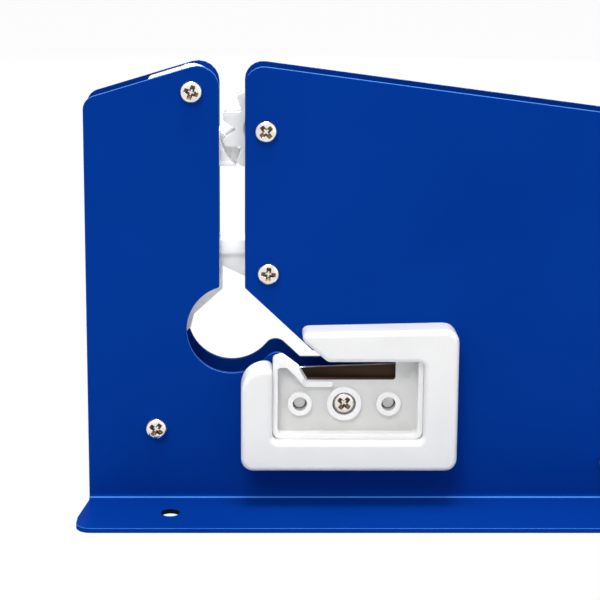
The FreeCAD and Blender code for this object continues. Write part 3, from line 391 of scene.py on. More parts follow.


# %% [markdown]
# The plates wear a smooth powder coat. It is a deep saturated blue and hardly shines, so its
# specular level is close to nothing. A thin light blue line along the rounded edges is a painted
# highlight: a second, lighter paint on the edges that look up. The walls of the foot holes take a
# third, near black paint, a painted shade for their shadowed walls.

# %% Plate paint


def powder_coat(name, low, high, rough, shine):
    paint, nodes, links = new_paint(name)
    cloud = grain(nodes, links, scale=14)
    tone(nodes, links, cloud, low, high)
    gloss(nodes, links, cloud, *rough)
    relief(nodes, links, grain(nodes, links, scale=1100, detail=2), strength=0.1, depth=0.03)
    shader(nodes).inputs["Specular IOR Level"].default_value = shine
    return paint


plate_blue = powder_coat("plate_blue", (0.0008, 0.0305, 0.240), (0.0012, 0.034, 0.262), (0.36, 0.44),
                         shine=0.002)
# The second paint is a painted highlight for the edges, the third a painted shade for the foot hole walls.
highlight_blue = powder_coat("highlight_blue", (0.05, 0.205, 0.65), (0.065, 0.235, 0.71), (0.26, 0.32), shine=0)
hole_wall_shade = powder_coat("hole_wall_shade", (0.003, 0.005, 0.012), (0.006, 0.009, 0.020), (0.5, 0.6), shine=0.02)
print("plate paints ready")

# %% [markdown]
# The guard, the hub, the wheel and the levers are white mouldings, and the blade holder is a
# greyer, slightly clear one. Light enters such plastic, which subsurface weight shows. The wheel
# and the levers stand between the plates, where little light falls on them from the front, so
# their white is painted lighter to offset that shade, and light goes deeper into theirs. The
# levers' paint is the lightest, and the wheel's sits between theirs and the guard's, since the lamp
# behind lights it. All keep the fine grain of the mould.

# %% Plastics


def moulding(name, low, high, rough, through, shine=0.4, reach=1.2):
    paint, nodes, links = new_paint(name)
    cloud = grain(nodes, links, scale=35)
    tone(nodes, links, cloud, low, high)
    gloss(nodes, links, cloud, *rough)
    relief(nodes, links, grain(nodes, links, scale=1500, detail=2), strength=0.08, depth=0.02)
    shader(nodes).inputs["Subsurface Weight"].default_value = through
    shader(nodes).inputs["Subsurface Radius"].default_value = (1.0, 1.0, 1.0)
    shader(nodes).inputs["Subsurface Scale"].default_value = reach * MM
    shader(nodes).inputs["Specular IOR Level"].default_value = shine
    return paint


guard_white = moulding("guard_white", (0.74, 0.74, 0.74), (0.78, 0.78, 0.775), (0.3, 0.38), through=0.15)
# Painted lightening: the levers' white is lighter than the guard's, against the shade between the plates.
shade_lifted_white = moulding("shade_lifted_white", (0.86, 0.86, 0.85), (0.90, 0.90, 0.89), (0.38, 0.48),
                       through=0.9, shine=0.3, reach=5)
wheel_white = moulding("wheel_white", (0.76, 0.76, 0.76), (0.80, 0.80, 0.80), (0.38, 0.48),
                       through=0.4, shine=0.3, reach=3)
holder_pale = moulding("holder_pale", (0.61, 0.61, 0.60), (0.66, 0.66, 0.65), (0.26, 0.34), through=0.3)
holder_lit_through = moulding("holder_lit_through", (0.80, 0.80, 0.80), (0.84, 0.84, 0.84), (0.26, 0.34), through=0.3)
window_reflection_brown = moulding("window_reflection_brown", (0.13, 0.075, 0.045), (0.17, 0.10, 0.065), (0.2, 0.3),
                        through=0.1, shine=0.5)
washer_nylon = moulding("washer_nylon", (0.66, 0.64, 0.58), (0.70, 0.68, 0.62), (0.4, 0.5), through=0.2)
print("seven plastics ready")

# %% [markdown]
# The metals differ in how they were worked. Nickel plated screws are bright and warm, turned steel
# has fine rings round its axis, and spring wire is drawn and darker. The trimmer's blade is painted
# dark brown, a painted reflection of the dark window round it. A metal takes its colour from what it
# reflects, so each has full metallic.

# %% Metals


def metal(name, low, high, rough, scale=220, stretch=(1, 1, 1)):
    paint, nodes, links = new_paint(name)
    streak = grain(nodes, links, scale, stretch=stretch)
    tone(nodes, links, streak, low, high)
    gloss(nodes, links, streak, *rough)
    relief(nodes, links, streak, strength=0.05, depth=0.01)
    shader(nodes).inputs["Metallic"].default_value = 1.0
    return paint


screw_nickel = metal("screw_nickel", (0.78, 0.74, 0.68), (0.88, 0.85, 0.80), (0.16, 0.26))
# A painted shade for the walls of the screw recesses.
recess_shade = metal("recess_shade", (0.16, 0.105, 0.06), (0.30, 0.21, 0.13), (0.3, 0.45))
spring_steel = metal("spring_steel", (0.34, 0.34, 0.35), (0.46, 0.46, 0.47), (0.24, 0.34))
turned_steel = metal("turned_steel", (0.44, 0.44, 0.44), (0.56, 0.56, 0.56), (0.26, 0.4),
                     scale=300, stretch=(1, 4, 1))
# The blade's dark brown is a painted reflection of its dark surroundings.
blade_dark_reflection = metal("blade_dark_reflection", (0.022, 0.015, 0.011), (0.050, 0.034, 0.025), (0.3, 0.45),
                    scale=90, stretch=(0.3, 1, 2))
# The brighter steel on the ground edge is a painted highlight.
blade_edge_highlight = metal("blade_edge_highlight", (0.30, 0.28, 0.26), (0.42, 0.40, 0.38), (0.2, 0.3),
                   scale=90, stretch=(0.3, 1, 2))
knife_steel = metal("knife_steel", (0.50, 0.50, 0.51), (0.62, 0.62, 0.63), (0.2, 0.3),
                    scale=120, stretch=(0.3, 1, 1))
print("seven metals ready")

# %% [markdown]
# A side plate is one folded sheet: an upright wall whose top edge falls away from the slot, with a
# slot, a round throat, a slanted way and a trimming channel punched into it, and a foot flange
# along the bottom. It could be cut from a solid block, but a press brake bends it, and so does this
# step: the inner face is drawn flat, its bottom edge is spun round the fold, and the flange is
# pulled out from there. Solidify then gives the sheet its thickness.

# %% Outline of a side plate
FOLD = SHEET + BEND_RADIUS
TOWER_Z, TOWER_SLOPE = 137.1, math.radians(16.7)
BODY_Z, BODY_SLOPE = 148.5, math.radians(7.7)
SLOT_LEFT, SLOT_RIGHT = 44.1, 52.5
THROAT_U, THROAT_Z, THROAT_RADIUS = 48.2, 60.2, 15
WAY_FALL, WAY_WIDTH, LIP_Z = math.radians(43.5), 7.6, 74.4
CHANNEL_LOW, CHANNEL_HIGH, CHANNEL_END, CHANNEL_ROUND = 46, 53, 101, 3.4
HUMP_RADIUS = 4.1
FEED_TURN = 6
PUNCH_ROUND = 1
HUMP_STEPS, THROAT_STEPS = 12, 44
REAR_ROUND, BODY_ROUND, TOWER_ROUND, END_ROUND = 42, 6, 7, 4.5


def throat_places():
    """The punched edge from the slot's right lip down, along the channel and round the throat."""
    wall_u = SLOT_RIGHT + (LIP_Z - CHANNEL_LOW) / math.tan(WAY_FALL)
    foot_u = wall_u - WAY_WIDTH / math.sin(WAY_FALL)
    roof_u = SLOT_RIGHT + (LIP_Z - CHANNEL_HIGH) / math.tan(WAY_FALL)
    down = Vector((math.cos(WAY_FALL), -math.sin(WAY_FALL)))
    under = Vector((down.y, -down.x))
    throat = Vector((THROAT_U, THROAT_Z))
    off = Vector((foot_u, CHANNEL_LOW)) + under * HUMP_RADIUS - throat
    reach = THROAT_RADIUS + HUMP_RADIUS
    slide = math.sqrt(off.dot(down) ** 2 - off.length_squared + reach ** 2) - off.dot(down)
    hump = throat + off + down * slide
    touch = math.degrees(math.atan2(*(hump - throat).yx))
    level = 90 - math.degrees(WAY_FALL)
    slot_turn = math.degrees(math.acos((SLOT_LEFT - THROAT_U) / THROAT_RADIUS))
    slot_z = THROAT_Z + THROAT_RADIUS * math.sin(math.radians(slot_turn))
    print("the hump starts at u %.1f, z %.1f" % (hump.x, hump.y))
    return [
        (SLOT_RIGHT, LIP_Z, PUNCH_ROUND), (roof_u, CHANNEL_HIGH, PUNCH_ROUND),
        (CHANNEL_END, CHANNEL_HIGH, CHANNEL_ROUND), (CHANNEL_END, CHANNEL_LOW, CHANNEL_ROUND),
        (foot_u, CHANNEL_LOW, PUNCH_ROUND),
        *arc(*hump, HUMP_RADIUS, level, touch + 180, HUMP_STEPS),
        *arc(THROAT_U, THROAT_Z, THROAT_RADIUS, touch + 360, slot_turn + FEED_TURN, THROAT_STEPS),
        (SLOT_LEFT, slot_z, PUNCH_ROUND),
    ]


def plate_outline():
    peak_z = TOWER_Z + SLOT_LEFT * math.tan(TOWER_SLOPE)
    rear_z = BODY_Z - (LENGTH - SLOT_RIGHT) * math.tan(BODY_SLOPE)
    return rounded([
        (0, FOLD), (LENGTH, FOLD), (LENGTH, rear_z, REAR_ROUND), (SLOT_RIGHT, BODY_Z, BODY_ROUND),
        *throat_places(), (SLOT_LEFT, peak_z, TOWER_ROUND), (0, TOWER_Z, END_ROUND),
    ])


print("the outline has %d corners" % len(plate_outline()))

# %% [markdown]
# The flange is pulled out in three runs, since it starts as wide as the wall and flares out a
# little on the counter. Its two outer corners are rounded while it is still a thin face. Solidify
# has to add its thickness on the outer side, so the normal of the wall tells which side that is.

# %% Fold and thickness of a side plate
FLARE_START, FLARE_RUN, FLANGE_END = 1, 15, 9.6
FLANGE_CORNER = 5
FOLD_STEPS, CORNER_STEPS = 8, 7


def folded_plate(side):
    """Side is -1 for the front plate and 1 for the back plate."""
    piece = flat_face(plate_outline(), side * INNER)
    pick(piece, "EDGE", lambda edge: all(abs(v.co.z - FOLD * MM) < CLOSE for v in edge.verts))
    bpy.ops.mesh.spin(steps=FOLD_STEPS, angle=-side * math.pi / 2, axis=(1, 0, 0),
                      center=spot(LENGTH / 2, side * (INNER + FOLD), FOLD))
    for reach, spread in ((FLARE_START, 0), (FLARE_RUN, FLARE), (FLANGE_END, 0)):
        bpy.ops.mesh.extrude_region_move(
            TRANSFORM_OT_translate={"value": (0, side * reach * MM, 0)})
        bpy.ops.transform.resize(value=((LENGTH + 2 * spread) / LENGTH, 1, 1),
                                 center_override=(0, 0, 0))
    close_edit()
    edge_y = (INNER + FOLD + FLARE_START + FLARE_RUN + FLANGE_END) * MM
    pick(piece, "VERT", lambda vert: abs(abs(vert.co.y) - edge_y) < CLOSE)
    bpy.ops.mesh.bevel(affect="VERTICES", offset=FLANGE_CORNER * MM, segments=CORNER_STEPS)
    close_edit()
    tidy_normals(piece)
    outward = piece.data.polygons[0].normal.y * side
    wall = piece.modifiers.new("sheet", "SOLIDIFY")
    wall.thickness = SHEET * MM
    wall.offset = 1 if outward > 0 else -1
    wall.use_even_offset = True
    apply_modifiers(piece)
    return piece


# %% [markdown]
# Holes are punched before painting. One boolean takes all the drills at once: the feet's, the ones
# for the screws and pins, and the open slot in which the reel's axle rests. Which faces keep the
# lighter paint, a painted highlight, is picked afterwards, on the front plate alone: rounded edges
# that look up, the sheet's top, and one thin line in the fold. The foot holes' walls get the dark
# painted shade.

# %% Holes and edges of the side plates
FOOT_HOLES = (27.9, LENGTH - 27.9)
FOOT_HOLE_Y, FOOT_HOLE_RADIUS, FOOT_PAST = OUTER + 13.7, 3, 2.2
PRESSER, WHEEL, LEVER, SPACER = (35.1, 139.6), (59.3, 126.7), (60.2, 79.4), (22.9, 26.1)
REAR_SCREWS = ((LENGTH - 13, 14), (LENGTH - 93, 14))
SCREWS = (PRESSER, WHEEL, LEVER, SPACER, *REAR_SCREWS)
TRIMMER, PIN_SPREAD = (85.4, 35.9), 14.7
PINS = [(TRIMMER[0] + sign * PIN_SPREAD, TRIMMER[1]) for sign in (-1, 1)]
GUARD_PEGS = ((56.4, 34), (116.95, 34))
GUIDE_PEG = (33, 72.6)
AXLE, AXLE_HALF, AXLE_LEAN = (LENGTH - 64, 83), 4.3, math.radians(65)
SCREW_BORE, PIN_BORE, PEG_BORE = 2.1, 2.25, 1.55
EDGE_ROUND = 0.4
SIDEWAYS, LIT_ABOVE, TOP_ABOVE = 0.6, 0.3, 0.5
LINE_LOW, LINE_HIGH = 0.76, 0.92
TOP_Z = TOWER_Z - 10
HOLE_MARGIN, RIM_MARGIN = 1, 0.1
PLATE_PAINTS = (plate_blue, highlight_blue, hole_wall_shade)
PAST = 1


def axle_slot(near, far):
    """The slot's drill: a round end, and two straight sides that lean out over the top."""
    lean = math.degrees(AXLE_LEAN)
    end = arc(*AXLE, AXLE_HALF, lean + 90, lean + 270, 20)
    out = BODY_Z * Vector((math.cos(AXLE_LEAN), math.sin(AXLE_LEAN)))
    tops = [(u + out.x, z + out.y) for u, z in (end[-1], end[0])]
    return block(end + tops, near, far)


def side_plate(name, side):
    piece = folded_plate(side)
    near, far = sorted((side * (INNER - PAST), side * (OUTER + PAST)))
    holes = [(place, SCREW_BORE) for place in SCREWS]
    if side < 0:
        holes += [(TRIMMER, SCREW_BORE), *((place, PIN_BORE) for place in PINS)]
        holes += [(place, PEG_BORE) for place in GUARD_PEGS]
    else:
        holes.append((GUIDE_PEG, PEG_BORE))
    drills = [rod(u, z, radius, near, far, 32) for (u, z), radius in holes]
    for u in FOOT_HOLES:
        bpy.ops.mesh.primitive_cylinder_add(
            vertices=48, radius=FOOT_HOLE_RADIUS * MM, depth=2 * (SHEET / 2 + FOOT_PAST) * MM,
            location=spot(u, side * FOOT_HOLE_Y, SHEET / 2))
        drills.append(bpy.context.object)
    drills.append(axle_slot(near, far))
    combine(piece, [joined(drills)], "DIFFERENCE")
    give_paints(piece, PLATE_PAINTS)
    soften(piece, EDGE_ROUND, paint=1)

    def lit(face, middle):
        """Painted highlight: the front plate's edges that look up, its sheet's top, and a line in the fold.
        """
        reach = FOOT_HOLE_RADIUS + HOLE_MARGIN
        beside_hole = min(abs(middle.x + ORIGIN - u) for u in FOOT_HOLES) < reach
        in_foot = -OUTER - FOLD > middle.y > -(FOOT_HOLE_Y + reach)
        lights = face.normal.z + SIDEWAYS * face.normal.x > LIT_ABOVE
        edge = face.material_index == 1 and lights and middle.y < EDGE_ROUND - OUTER
        fold = middle.z < FOLD and -OUTER > middle.y > -OUTER - BEND_RADIUS
        line = fold and LINE_LOW < face.normal.z < LINE_HIGH and middle.z > SHEET
        top = middle.z > TOP_Z and face.normal.z > TOP_ABOVE
        return side < 0 and (line or top or edge and not (beside_hole and in_foot))

    def in_foot_hole(face, middle):
        """The walls of the foot holes, with their rounded rims, which get the painted shade."""
        near = min(math.hypot(middle.x + ORIGIN - u, abs(middle.y) - FOOT_HOLE_Y) for u in FOOT_HOLES)
        return near < FOOT_HOLE_RADIUS + EDGE_ROUND and middle.z < SHEET + RIM_MARGIN

    # The lit faces get the painted highlight.
    paint_faces(piece, 0, lambda face, middle: not lit(face, middle))
    paint_faces(piece, 1, lit)
    # The foot hole walls get the dark paint, a painted shade.
    paint_faces(piece, 2, in_foot_hole)
    return fit(piece, name, "frame", "painted_blue", PLATE_PAINTS, name.replace("_sheet", ""))


side_plate("front_plate_sheet", -1)
side_plate("back_plate_sheet", 1)

# %% [markdown]
# The trimmer's guard is a thick white moulding in the shape of a C. Its arm reaches over the
# channel and leaves a mouth for the bag's tail. The front edges are well rounded, since fingers
# run along them, so the outline is pulled out to its depth first and then its front rim gets a
# bevel of many steps. No corner is tighter than the bevel is wide, or the bevel would be cut
# short. Two pegs on the back hold the guard in the plate.

# %% Trimmer guard
GUARD_LEFT, GUARD_RIGHT, GUARD_LOW, GUARD_TOP, TOP_RISE = 51.2, 122.6, 14.2, 61.6, 1.2
GUARD_BAR, GUARD_RIGHT_BAR, GUARD_HEIGHT = 10.4, 11.3, 10
ARM_LOW, ARM_TIP, ARM_TOE = 51.6, 68.2, 79.7
SHOULDER_Z, SHOULDER_ROUND = 49.6, 8
INNER_LEFT, INNER_RIGHT = GUARD_LEFT + GUARD_BAR, GUARD_RIGHT - GUARD_RIGHT_BAR
INNER_LOW = GUARD_LOW + GUARD_BAR
GUARD_ROUND, GUARD_STEPS = 1.9, 8
GUARD_FRONT = -OUTER - GUARD_HEIGHT
PEG_RADIUS = 1.5

guard = block([
    (GUARD_LEFT, GUARD_LOW, 4), (GUARD_RIGHT, GUARD_LOW, 4), (GUARD_RIGHT, GUARD_TOP + TOP_RISE, 4.6),
    (ARM_TIP, GUARD_TOP, 2), (ARM_TOE, ARM_LOW, 2.4), (INNER_RIGHT, ARM_LOW, 2),
    (INNER_RIGHT, INNER_LOW, 2), (INNER_LEFT, INNER_LOW, 2), (INNER_LEFT, SHOULDER_Z, 2),
    (GUARD_LEFT, SHOULDER_Z, SHOULDER_ROUND),
], -OUTER, GUARD_FRONT)
bevel_rim(guard, GUARD_FRONT, GUARD_ROUND, GUARD_STEPS)
combine(guard, [rod(u, z, PEG_RADIUS, -OUTER - PAST, -INNER, 24) for u, z in GUARD_PEGS], "UNION")
soften(guard, 0.15, 2)
fit(guard, "guard_moulding", "frame", "white_plastic", (guard_white,), "trimmer_guard")

# %% [markdown]
# Inside the guard lies the blade holder, a shallow tray with a solid peak at its left, a window
# through which the blade shows, a rib along the window's corner, two posts for the pins, and a
# sunk boss for the screw. The plastic is slightly clear, so light through it makes it look whiter
# where it is thick: what stands up from the floor gets a whiter paint, a painted glow. The window's
# polished walls mirror the dark blade, which a brown paint shows as a painted reflection. Round
# marks in the floor are where pins pushed it out of its mould.

# %% Blade holder
TRAY_BACK = -OUTER - 0.4
TRAY_RIM, TRAY_FLOOR = -OUTER - 7, -OUTER - 3
POST_TOP, BOSS_TOP, SCREW_SEAT = -OUTER - 4.4, -OUTER - 4.2, -OUTER - 1.7
SEAM = 0.08
TRAY_LEFT, TRAY_RIGHT = INNER_LEFT + SEAM, INNER_RIGHT - SEAM
TRAY_LOW, TRAY_HIGH = INNER_LOW + SEAM, ARM_LOW - SEAM
PEAK_U, PEAK_Z = 65, 52.4
WINDOW_LEFT, WINDOW_RIGHT, WINDOW_LOW = 73.1, 102.4, 43.9
SLOPE_BEND = (70.4, 48.2)
RIM, RIM_CORNER = 1.6, 2.6
WELL_TOP = 49.2
RIB_TOP, RIB_KNEE, RIB_END, RIB_HALF = (66.9, 49.3), (72.6, 42.75), 81.6, 0.95
EJECTOR_MARKS = ((106.1, 46), (78, 28), (105.5, 28))
MARK_RADIUS, MARK_DEPTH = 1.3, 0.2

tray = block([
    (TRAY_LEFT, TRAY_LOW, RIM_CORNER), (TRAY_RIGHT, TRAY_LOW, RIM_CORNER), (TRAY_RIGHT, TRAY_HIGH, 1.6),
    (WINDOW_RIGHT, TRAY_HIGH, 0.4), (WINDOW_RIGHT, WINDOW_LOW, 1), (WINDOW_LEFT, WINDOW_LOW, 0.4),
    (*SLOPE_BEND, 1), (PEAK_U, PEAK_Z, 2.2), (TRAY_LEFT, PEAK_Z - 0.8, 1.6),
], TRAY_BACK, TRAY_RIM)
well = block([
    (TRAY_LEFT + RIM, TRAY_LOW + RIM, 1.6), (TRAY_RIGHT - RIM, TRAY_LOW + RIM, 1.6),
    (TRAY_RIGHT - RIM, TRAY_HIGH + RIM), (RIB_END, TRAY_HIGH + RIM), (RIB_END, WINDOW_LOW + RIM),
    (WINDOW_LEFT - RIM, WINDOW_LOW), (RIB_TOP[0] - 0.6, WELL_TOP, 0.6), (TRAY_LEFT + RIM, WELL_TOP, 1),
], TRAY_FLOOR, TRAY_RIM - PAST)
open_side = block([
    (WINDOW_LEFT - RIM, WINDOW_LOW - 2), (WINDOW_RIGHT + RIM, WINDOW_LOW - 2),
    (WINDOW_RIGHT + RIM, WINDOW_LOW + RIM), (WINDOW_LEFT - RIM, WINDOW_LOW + RIM),
], TRAY_FLOOR, TRAY_RIM - PAST)
marks = [rod(u, z, MARK_RADIUS, TRAY_FLOOR - PAST, TRAY_FLOOR + MARK_DEPTH, 32)
         for u, z in EJECTOR_MARKS]
combine(tray, [well, open_side, joined(marks)], "DIFFERENCE")


def rib_outline():
    """The rib's two runs: down along the window's slope, and right below the window."""
    run = (Vector(RIB_KNEE) - Vector(RIB_TOP)).normalized()
    off = Vector((-run.y, run.x)) * RIB_HALF
    top_right, top_left = Vector(RIB_TOP) + off, Vector(RIB_TOP) - off
    back = RIB_HALF * math.tan(run.angle(Vector((1, 0))) / 2)
    low, high = RIB_KNEE[1] - RIB_HALF, RIB_KNEE[1] + RIB_HALF
    return [(*top_left, 0.9), (RIB_KNEE[0] - back, low, 1.5), (RIB_END, low, 0.9),
            (RIB_END, high, 0.9), (RIB_KNEE[0] + back, high, 0.5), (*top_right, 0.9)]


# %% [markdown]
# What stands in the tray is added after its floor is cut out, and each piece starts a little below
# the floor, so that the boolean finds a clean overlap. Then the bores go through. The walls that
# show the blade's brown are picked by the way they face.

# %% Posts, boss and bores of the blade holder
BOSS_RADIUS, POST_WALL_RADIUS, POST_BORE, SEAT_RADIUS = 5.7, 4, 2.35, 3.9
THICK_ABOVE, WALL_MARGIN, FACING = 0.35, 0.2, 0.7

raised = [block(rib_outline(), TRAY_FLOOR + PAST, POST_TOP)]
raised.append(rod(*TRIMMER, BOSS_RADIUS, BOSS_TOP, TRAY_FLOOR + PAST))
raised += [rod(*place, POST_WALL_RADIUS, POST_TOP, TRAY_FLOOR + PAST) for place in PINS]
combine(tray, raised, "UNION")
bores = [rod(*place, POST_BORE, POST_TOP - PAST, -OUTER + PAST) for place in PINS]
bores.append(turned(*TRIMMER, [
    (0, BOSS_TOP - PAST), (SEAT_RADIUS, BOSS_TOP - PAST), (SEAT_RADIUS, SCREW_SEAT),
    (SCREW_BORE, SCREW_SEAT), (SCREW_BORE, -OUTER + PAST), (0, -OUTER + PAST)]))
combine(tray, [joined(bores)], "DIFFERENCE")
TRAY_PAINTS = (holder_pale, holder_lit_through, window_reflection_brown)
give_paints(tray, TRAY_PAINTS)
soften(tray, 0.3)


def window_wall(face, middle):
    """The walls of the window, below and at its right, between the floor and the blade."""
    across = WINDOW_LEFT < middle.x + ORIGIN < WINDOW_RIGHT + WALL_MARGIN
    low = middle.z > WINDOW_LOW - WALL_MARGIN and face.normal.z > FACING
    right = middle.z > WINDOW_LOW and face.normal.x < -FACING
    return across and (low or right) and TRAY_FLOOR + WALL_MARGIN < middle.y < TRAY_BACK


# What stands up from the floor gets the whiter paint, a painted glow of light through thick plastic.
paint_faces(tray, 1, lambda face, middle: middle.y < TRAY_FLOOR - THICK_ABOVE)
# The window's walls get the brown paint, a painted reflection of the blade.
paint_faces(tray, 2, window_wall)
fit(tray, "blade_tray", "frame", "pale_plastic", TRAY_PAINTS, "blade_holder")

# %% [markdown]
# The blade is a thin strip, ground along its top. The bevel is a real slanted face: the top front
# edge is picked and bevelled in one flat step, and that face then gets the brighter steel, a
# painted highlight.

# %% Trimmer blade
BLADE_HALF = 18.3
BLADE_LEFT, BLADE_RIGHT = TRIMMER[0] - BLADE_HALF, TRIMMER[0] + BLADE_HALF
BLADE_LOW, EDGE_LEFT_Z, EDGE_RIGHT_Z = 29, 47.4, 48.8
BLADE_FRONT = -OUTER - 0.4
GROUND, EDGE_BAND = 0.28, 0.5

blade = block([
    (BLADE_LEFT, BLADE_LOW), (BLADE_RIGHT, BLADE_LOW), (BLADE_RIGHT, EDGE_RIGHT_Z),
    (BLADE_LEFT, EDGE_LEFT_Z),
], -OUTER, BLADE_FRONT)
holes = [rod(*place, PIN_BORE, BLADE_FRONT - PAST, -OUTER + PAST, 32) for place in (*PINS, TRIMMER)]
combine(blade, [joined(holes)], "DIFFERENCE")
give_paints(blade, (blade_dark_reflection, blade_edge_highlight))
pick(blade, "EDGE", lambda edge: at_depth(BLADE_FRONT)(edge)
     and min(vert.co.z for vert in edge.verts) > (EDGE_LEFT_Z - EDGE_BAND) * MM)
bpy.ops.mesh.bevel(offset=GROUND * MM, segments=1, affect="EDGES", material=1)
close_edit()
fit(blade, "blade_strip", "frame", "blade_steel", (blade_dark_reflection, blade_edge_highlight), "trimmer_blade")

# %% [markdown]
# Two steel pins place holder and blade. They end well below the tops of their posts. The nut behind
# the plate is a six sided block with softened edges.

# %% Pins and nut
PIN_RADIUS, PIN_END = 2.05, -OUTER - 2.2
NUT_HALF, NUT_HEIGHT, NUT_BORE = 3.5, 3.2, 2
NUT_CORNER = NUT_HALF / math.cos(math.radians(30))

pins = joined([rod(*place, PIN_RADIUS, PIN_END, -INNER, 48) for place in PINS])
soften(pins, 0.3, 2)
fit(pins, "pin_pair", "frame", "turned_steel", (turned_steel,), "locating_pins")

corners = arc(*TRIMMER, NUT_CORNER, 0, 300, 5)
nut = block(corners, -INNER, -INNER + NUT_HEIGHT)
combine(nut, [rod(*TRIMMER, NUT_BORE, -INNER - PAST, -INNER + NUT_HEIGHT + PAST, 32)], "DIFFERENCE")
soften(nut, 0.25, 2)
fit(nut, "nut_steel", "frame", "nickel", (screw_nickel,), "trimmer_nut")

# %% [markdown]
# Screws, rivets and other repeats are modelled once, on an axis through the origin, and copied to
# their places. Each copy has a mesh of its own, because a bevel or a paint on one shared mesh would
# change them all. It is turned and moved as an object, and both are then applied.

# %% Copies of a pattern


def copied(pattern, places):
    """Copies of a pattern, joined: each place is (u, y, z) and the turn about X, Y and Z."""
    twins = []
    for place, turn in places:
        work_on(pattern)
        bpy.ops.object.duplicate()
        twin = bpy.context.object
        twin.location = spot(*place)
        twin.rotation_euler = [math.radians(angle) for angle in turn]
        bpy.ops.object.transform_apply(location=True, rotation=True, scale=True)
        twins.append(twin)
    bpy.data.objects.remove(pattern)
    return joined(twins)


# %% [markdown]
# The plates are held by pan head screws with a cross recess. The head is turned from its profile:
# a short straight side, then the crown. The recess is a plus that narrows towards its bottom. Its
# walls bring their own, darker paint into the boolean, a painted shade for the hollow, while the
# bottom keeps the bright nickel.

# %% Pan head screws
HEAD_RADIUS, HEAD_HEIGHT, SHANK_RADIUS, THREAD_CHAMFER = 3.65, 2.4, 1.95, 0.4
PLATE_SCREW, TRIMMER_SCREW = 8, 13
HEAD_PROFILE = [(HEAD_RADIUS - 0.15, 0), (HEAD_RADIUS, -0.15), (HEAD_RADIUS, -0.95), (3.55, -1.4),
                (3.28, -1.8), (2.85, -2.1), (2.2, -2.28), (1.2, -2.37), (0, -HEAD_HEIGHT)]
RECESS_REACH, RECESS_HALF, RECESS_DEPTH, RECESS_NARROW, RECESS_OVER = 2.7, 0.8, 1.6, 0.34, 0.05
SCREW_TURNS = (20, 50, 5, 35, 60, 10)
TRIMMER_TURN = 40
SCREW_PAINTS = (screw_nickel, recess_shade)


def recess_drill():
    """The plus that a driver fits, wide at the crown and narrow at its bottom."""
    arm = ((RECESS_REACH, -RECESS_HALF), (RECESS_REACH, RECESS_HALF), (RECESS_HALF, RECESS_HALF))
    corners = [complex(*corner) * 1j ** turn for turn in range(4) for corner in arm]
    bottom = -HEAD_HEIGHT + RECESS_DEPTH
    drill = block([(ORIGIN + corner.real, corner.imag) for corner in corners],
                  bottom, -HEAD_HEIGHT - RECESS_OVER)
    pick(drill, "FACE", at_depth(bottom))
    bpy.ops.transform.resize(value=(RECESS_NARROW, 1, RECESS_NARROW), center_override=(0, 0, 0))
    close_edit()
    give_paints(drill, SCREW_PAINTS)
    # The recess walls get the painted shade, the bottom keeps the nickel.
    for face in drill.data.polygons:
        face.material_index = 0 if face.normal.y > 0.9 else 1
    return drill


def pan_screw(length):
    """A screw with its seat at the origin, its head towards the front and its thread behind."""
    shank = [(0, length), (SHANK_RADIUS - THREAD_CHAMFER, length),
             (SHANK_RADIUS, length - THREAD_CHAMFER), (SHANK_RADIUS, 0)]
    screw = turned(ORIGIN, 0, shank + HEAD_PROFILE, 48)
    give_paints(screw, SCREW_PAINTS)
    combine(screw, [recess_drill()], "DIFFERENCE")
    soften(screw, 0.06, 1, 0)
    return screw


front = [((u, -OUTER, z), (0, turn, 0)) for (u, z), turn in zip(SCREWS, SCREW_TURNS)]
back = [((u, OUTER, z), (0, turn, 180)) for (u, z), turn in zip(SCREWS, reversed(SCREW_TURNS))]
sunk = [((TRIMMER[0], SCREW_SEAT, TRIMMER[1]), (0, TRIMMER_TURN, 0))]
for name, length, places, node in (
        ("front_pan_heads", PLATE_SCREW, front, "front_screws"),
        ("back_pan_heads", PLATE_SCREW, back, "back_screws"),
        ("trimmer_pan_head", TRIMMER_SCREW, sunk, "trimmer_screw")):
    fit(copied(pan_screw(length), places), name, "frame", "nickel", SCREW_PAINTS, node)

# %% [markdown]
# The plates are kept apart by tubes with a thread inside, and three of them are also the axles of
# what moves. Each is one turned profile with chamfered ends. The posts on the back plate and the
# cross pin are turned as well.

# %% Tubes and posts
BUSH_RADIUS, BUSH_BORE, CHAMFER = 5, 2, 0.4
POST_RADIUS, POST_FRONT, STOP_FRONT = 1.6, -2.4, 3.2
SIDE_PLAY = 0.35
ARM_HALF = INNER - SIDE_PLAY


def tube(u, z):
    half = INNER
    return turned(u, z, [
        (BUSH_BORE + CHAMFER, -half), (BUSH_RADIUS - CHAMFER, -half), (BUSH_RADIUS, -half + CHAMFER),
        (BUSH_RADIUS, half - CHAMFER), (BUSH_RADIUS - CHAMFER, half), (BUSH_BORE + CHAMFER, half),
        (BUSH_BORE, half - CHAMFER), (BUSH_BORE, -half + CHAMFER)])


def post(u, z, radius, front, back):
    """A plain pin with a small chamfer at its front end."""
    return turned(u, z, [(0, front), (radius - CHAMFER, front), (radius, front + CHAMFER),
                         (radius, back), (0, back)], 40)


for name, place in (("wheel_tube", WHEEL), ("presser_tube", PRESSER), ("lever_tube", LEVER),
                    ("lower_tube", SPACER)):
    node = name.replace("tube", "spacer" if name == "lower_tube" else "bush")
    fit(tube(*place), name, "frame", "turned_steel", (turned_steel,), node)
rear = joined([tube(*place) for place in REAR_SCREWS])
fit(rear, "rear_tubes", "frame", "turned_steel", (turned_steel,), "rear_spacers")

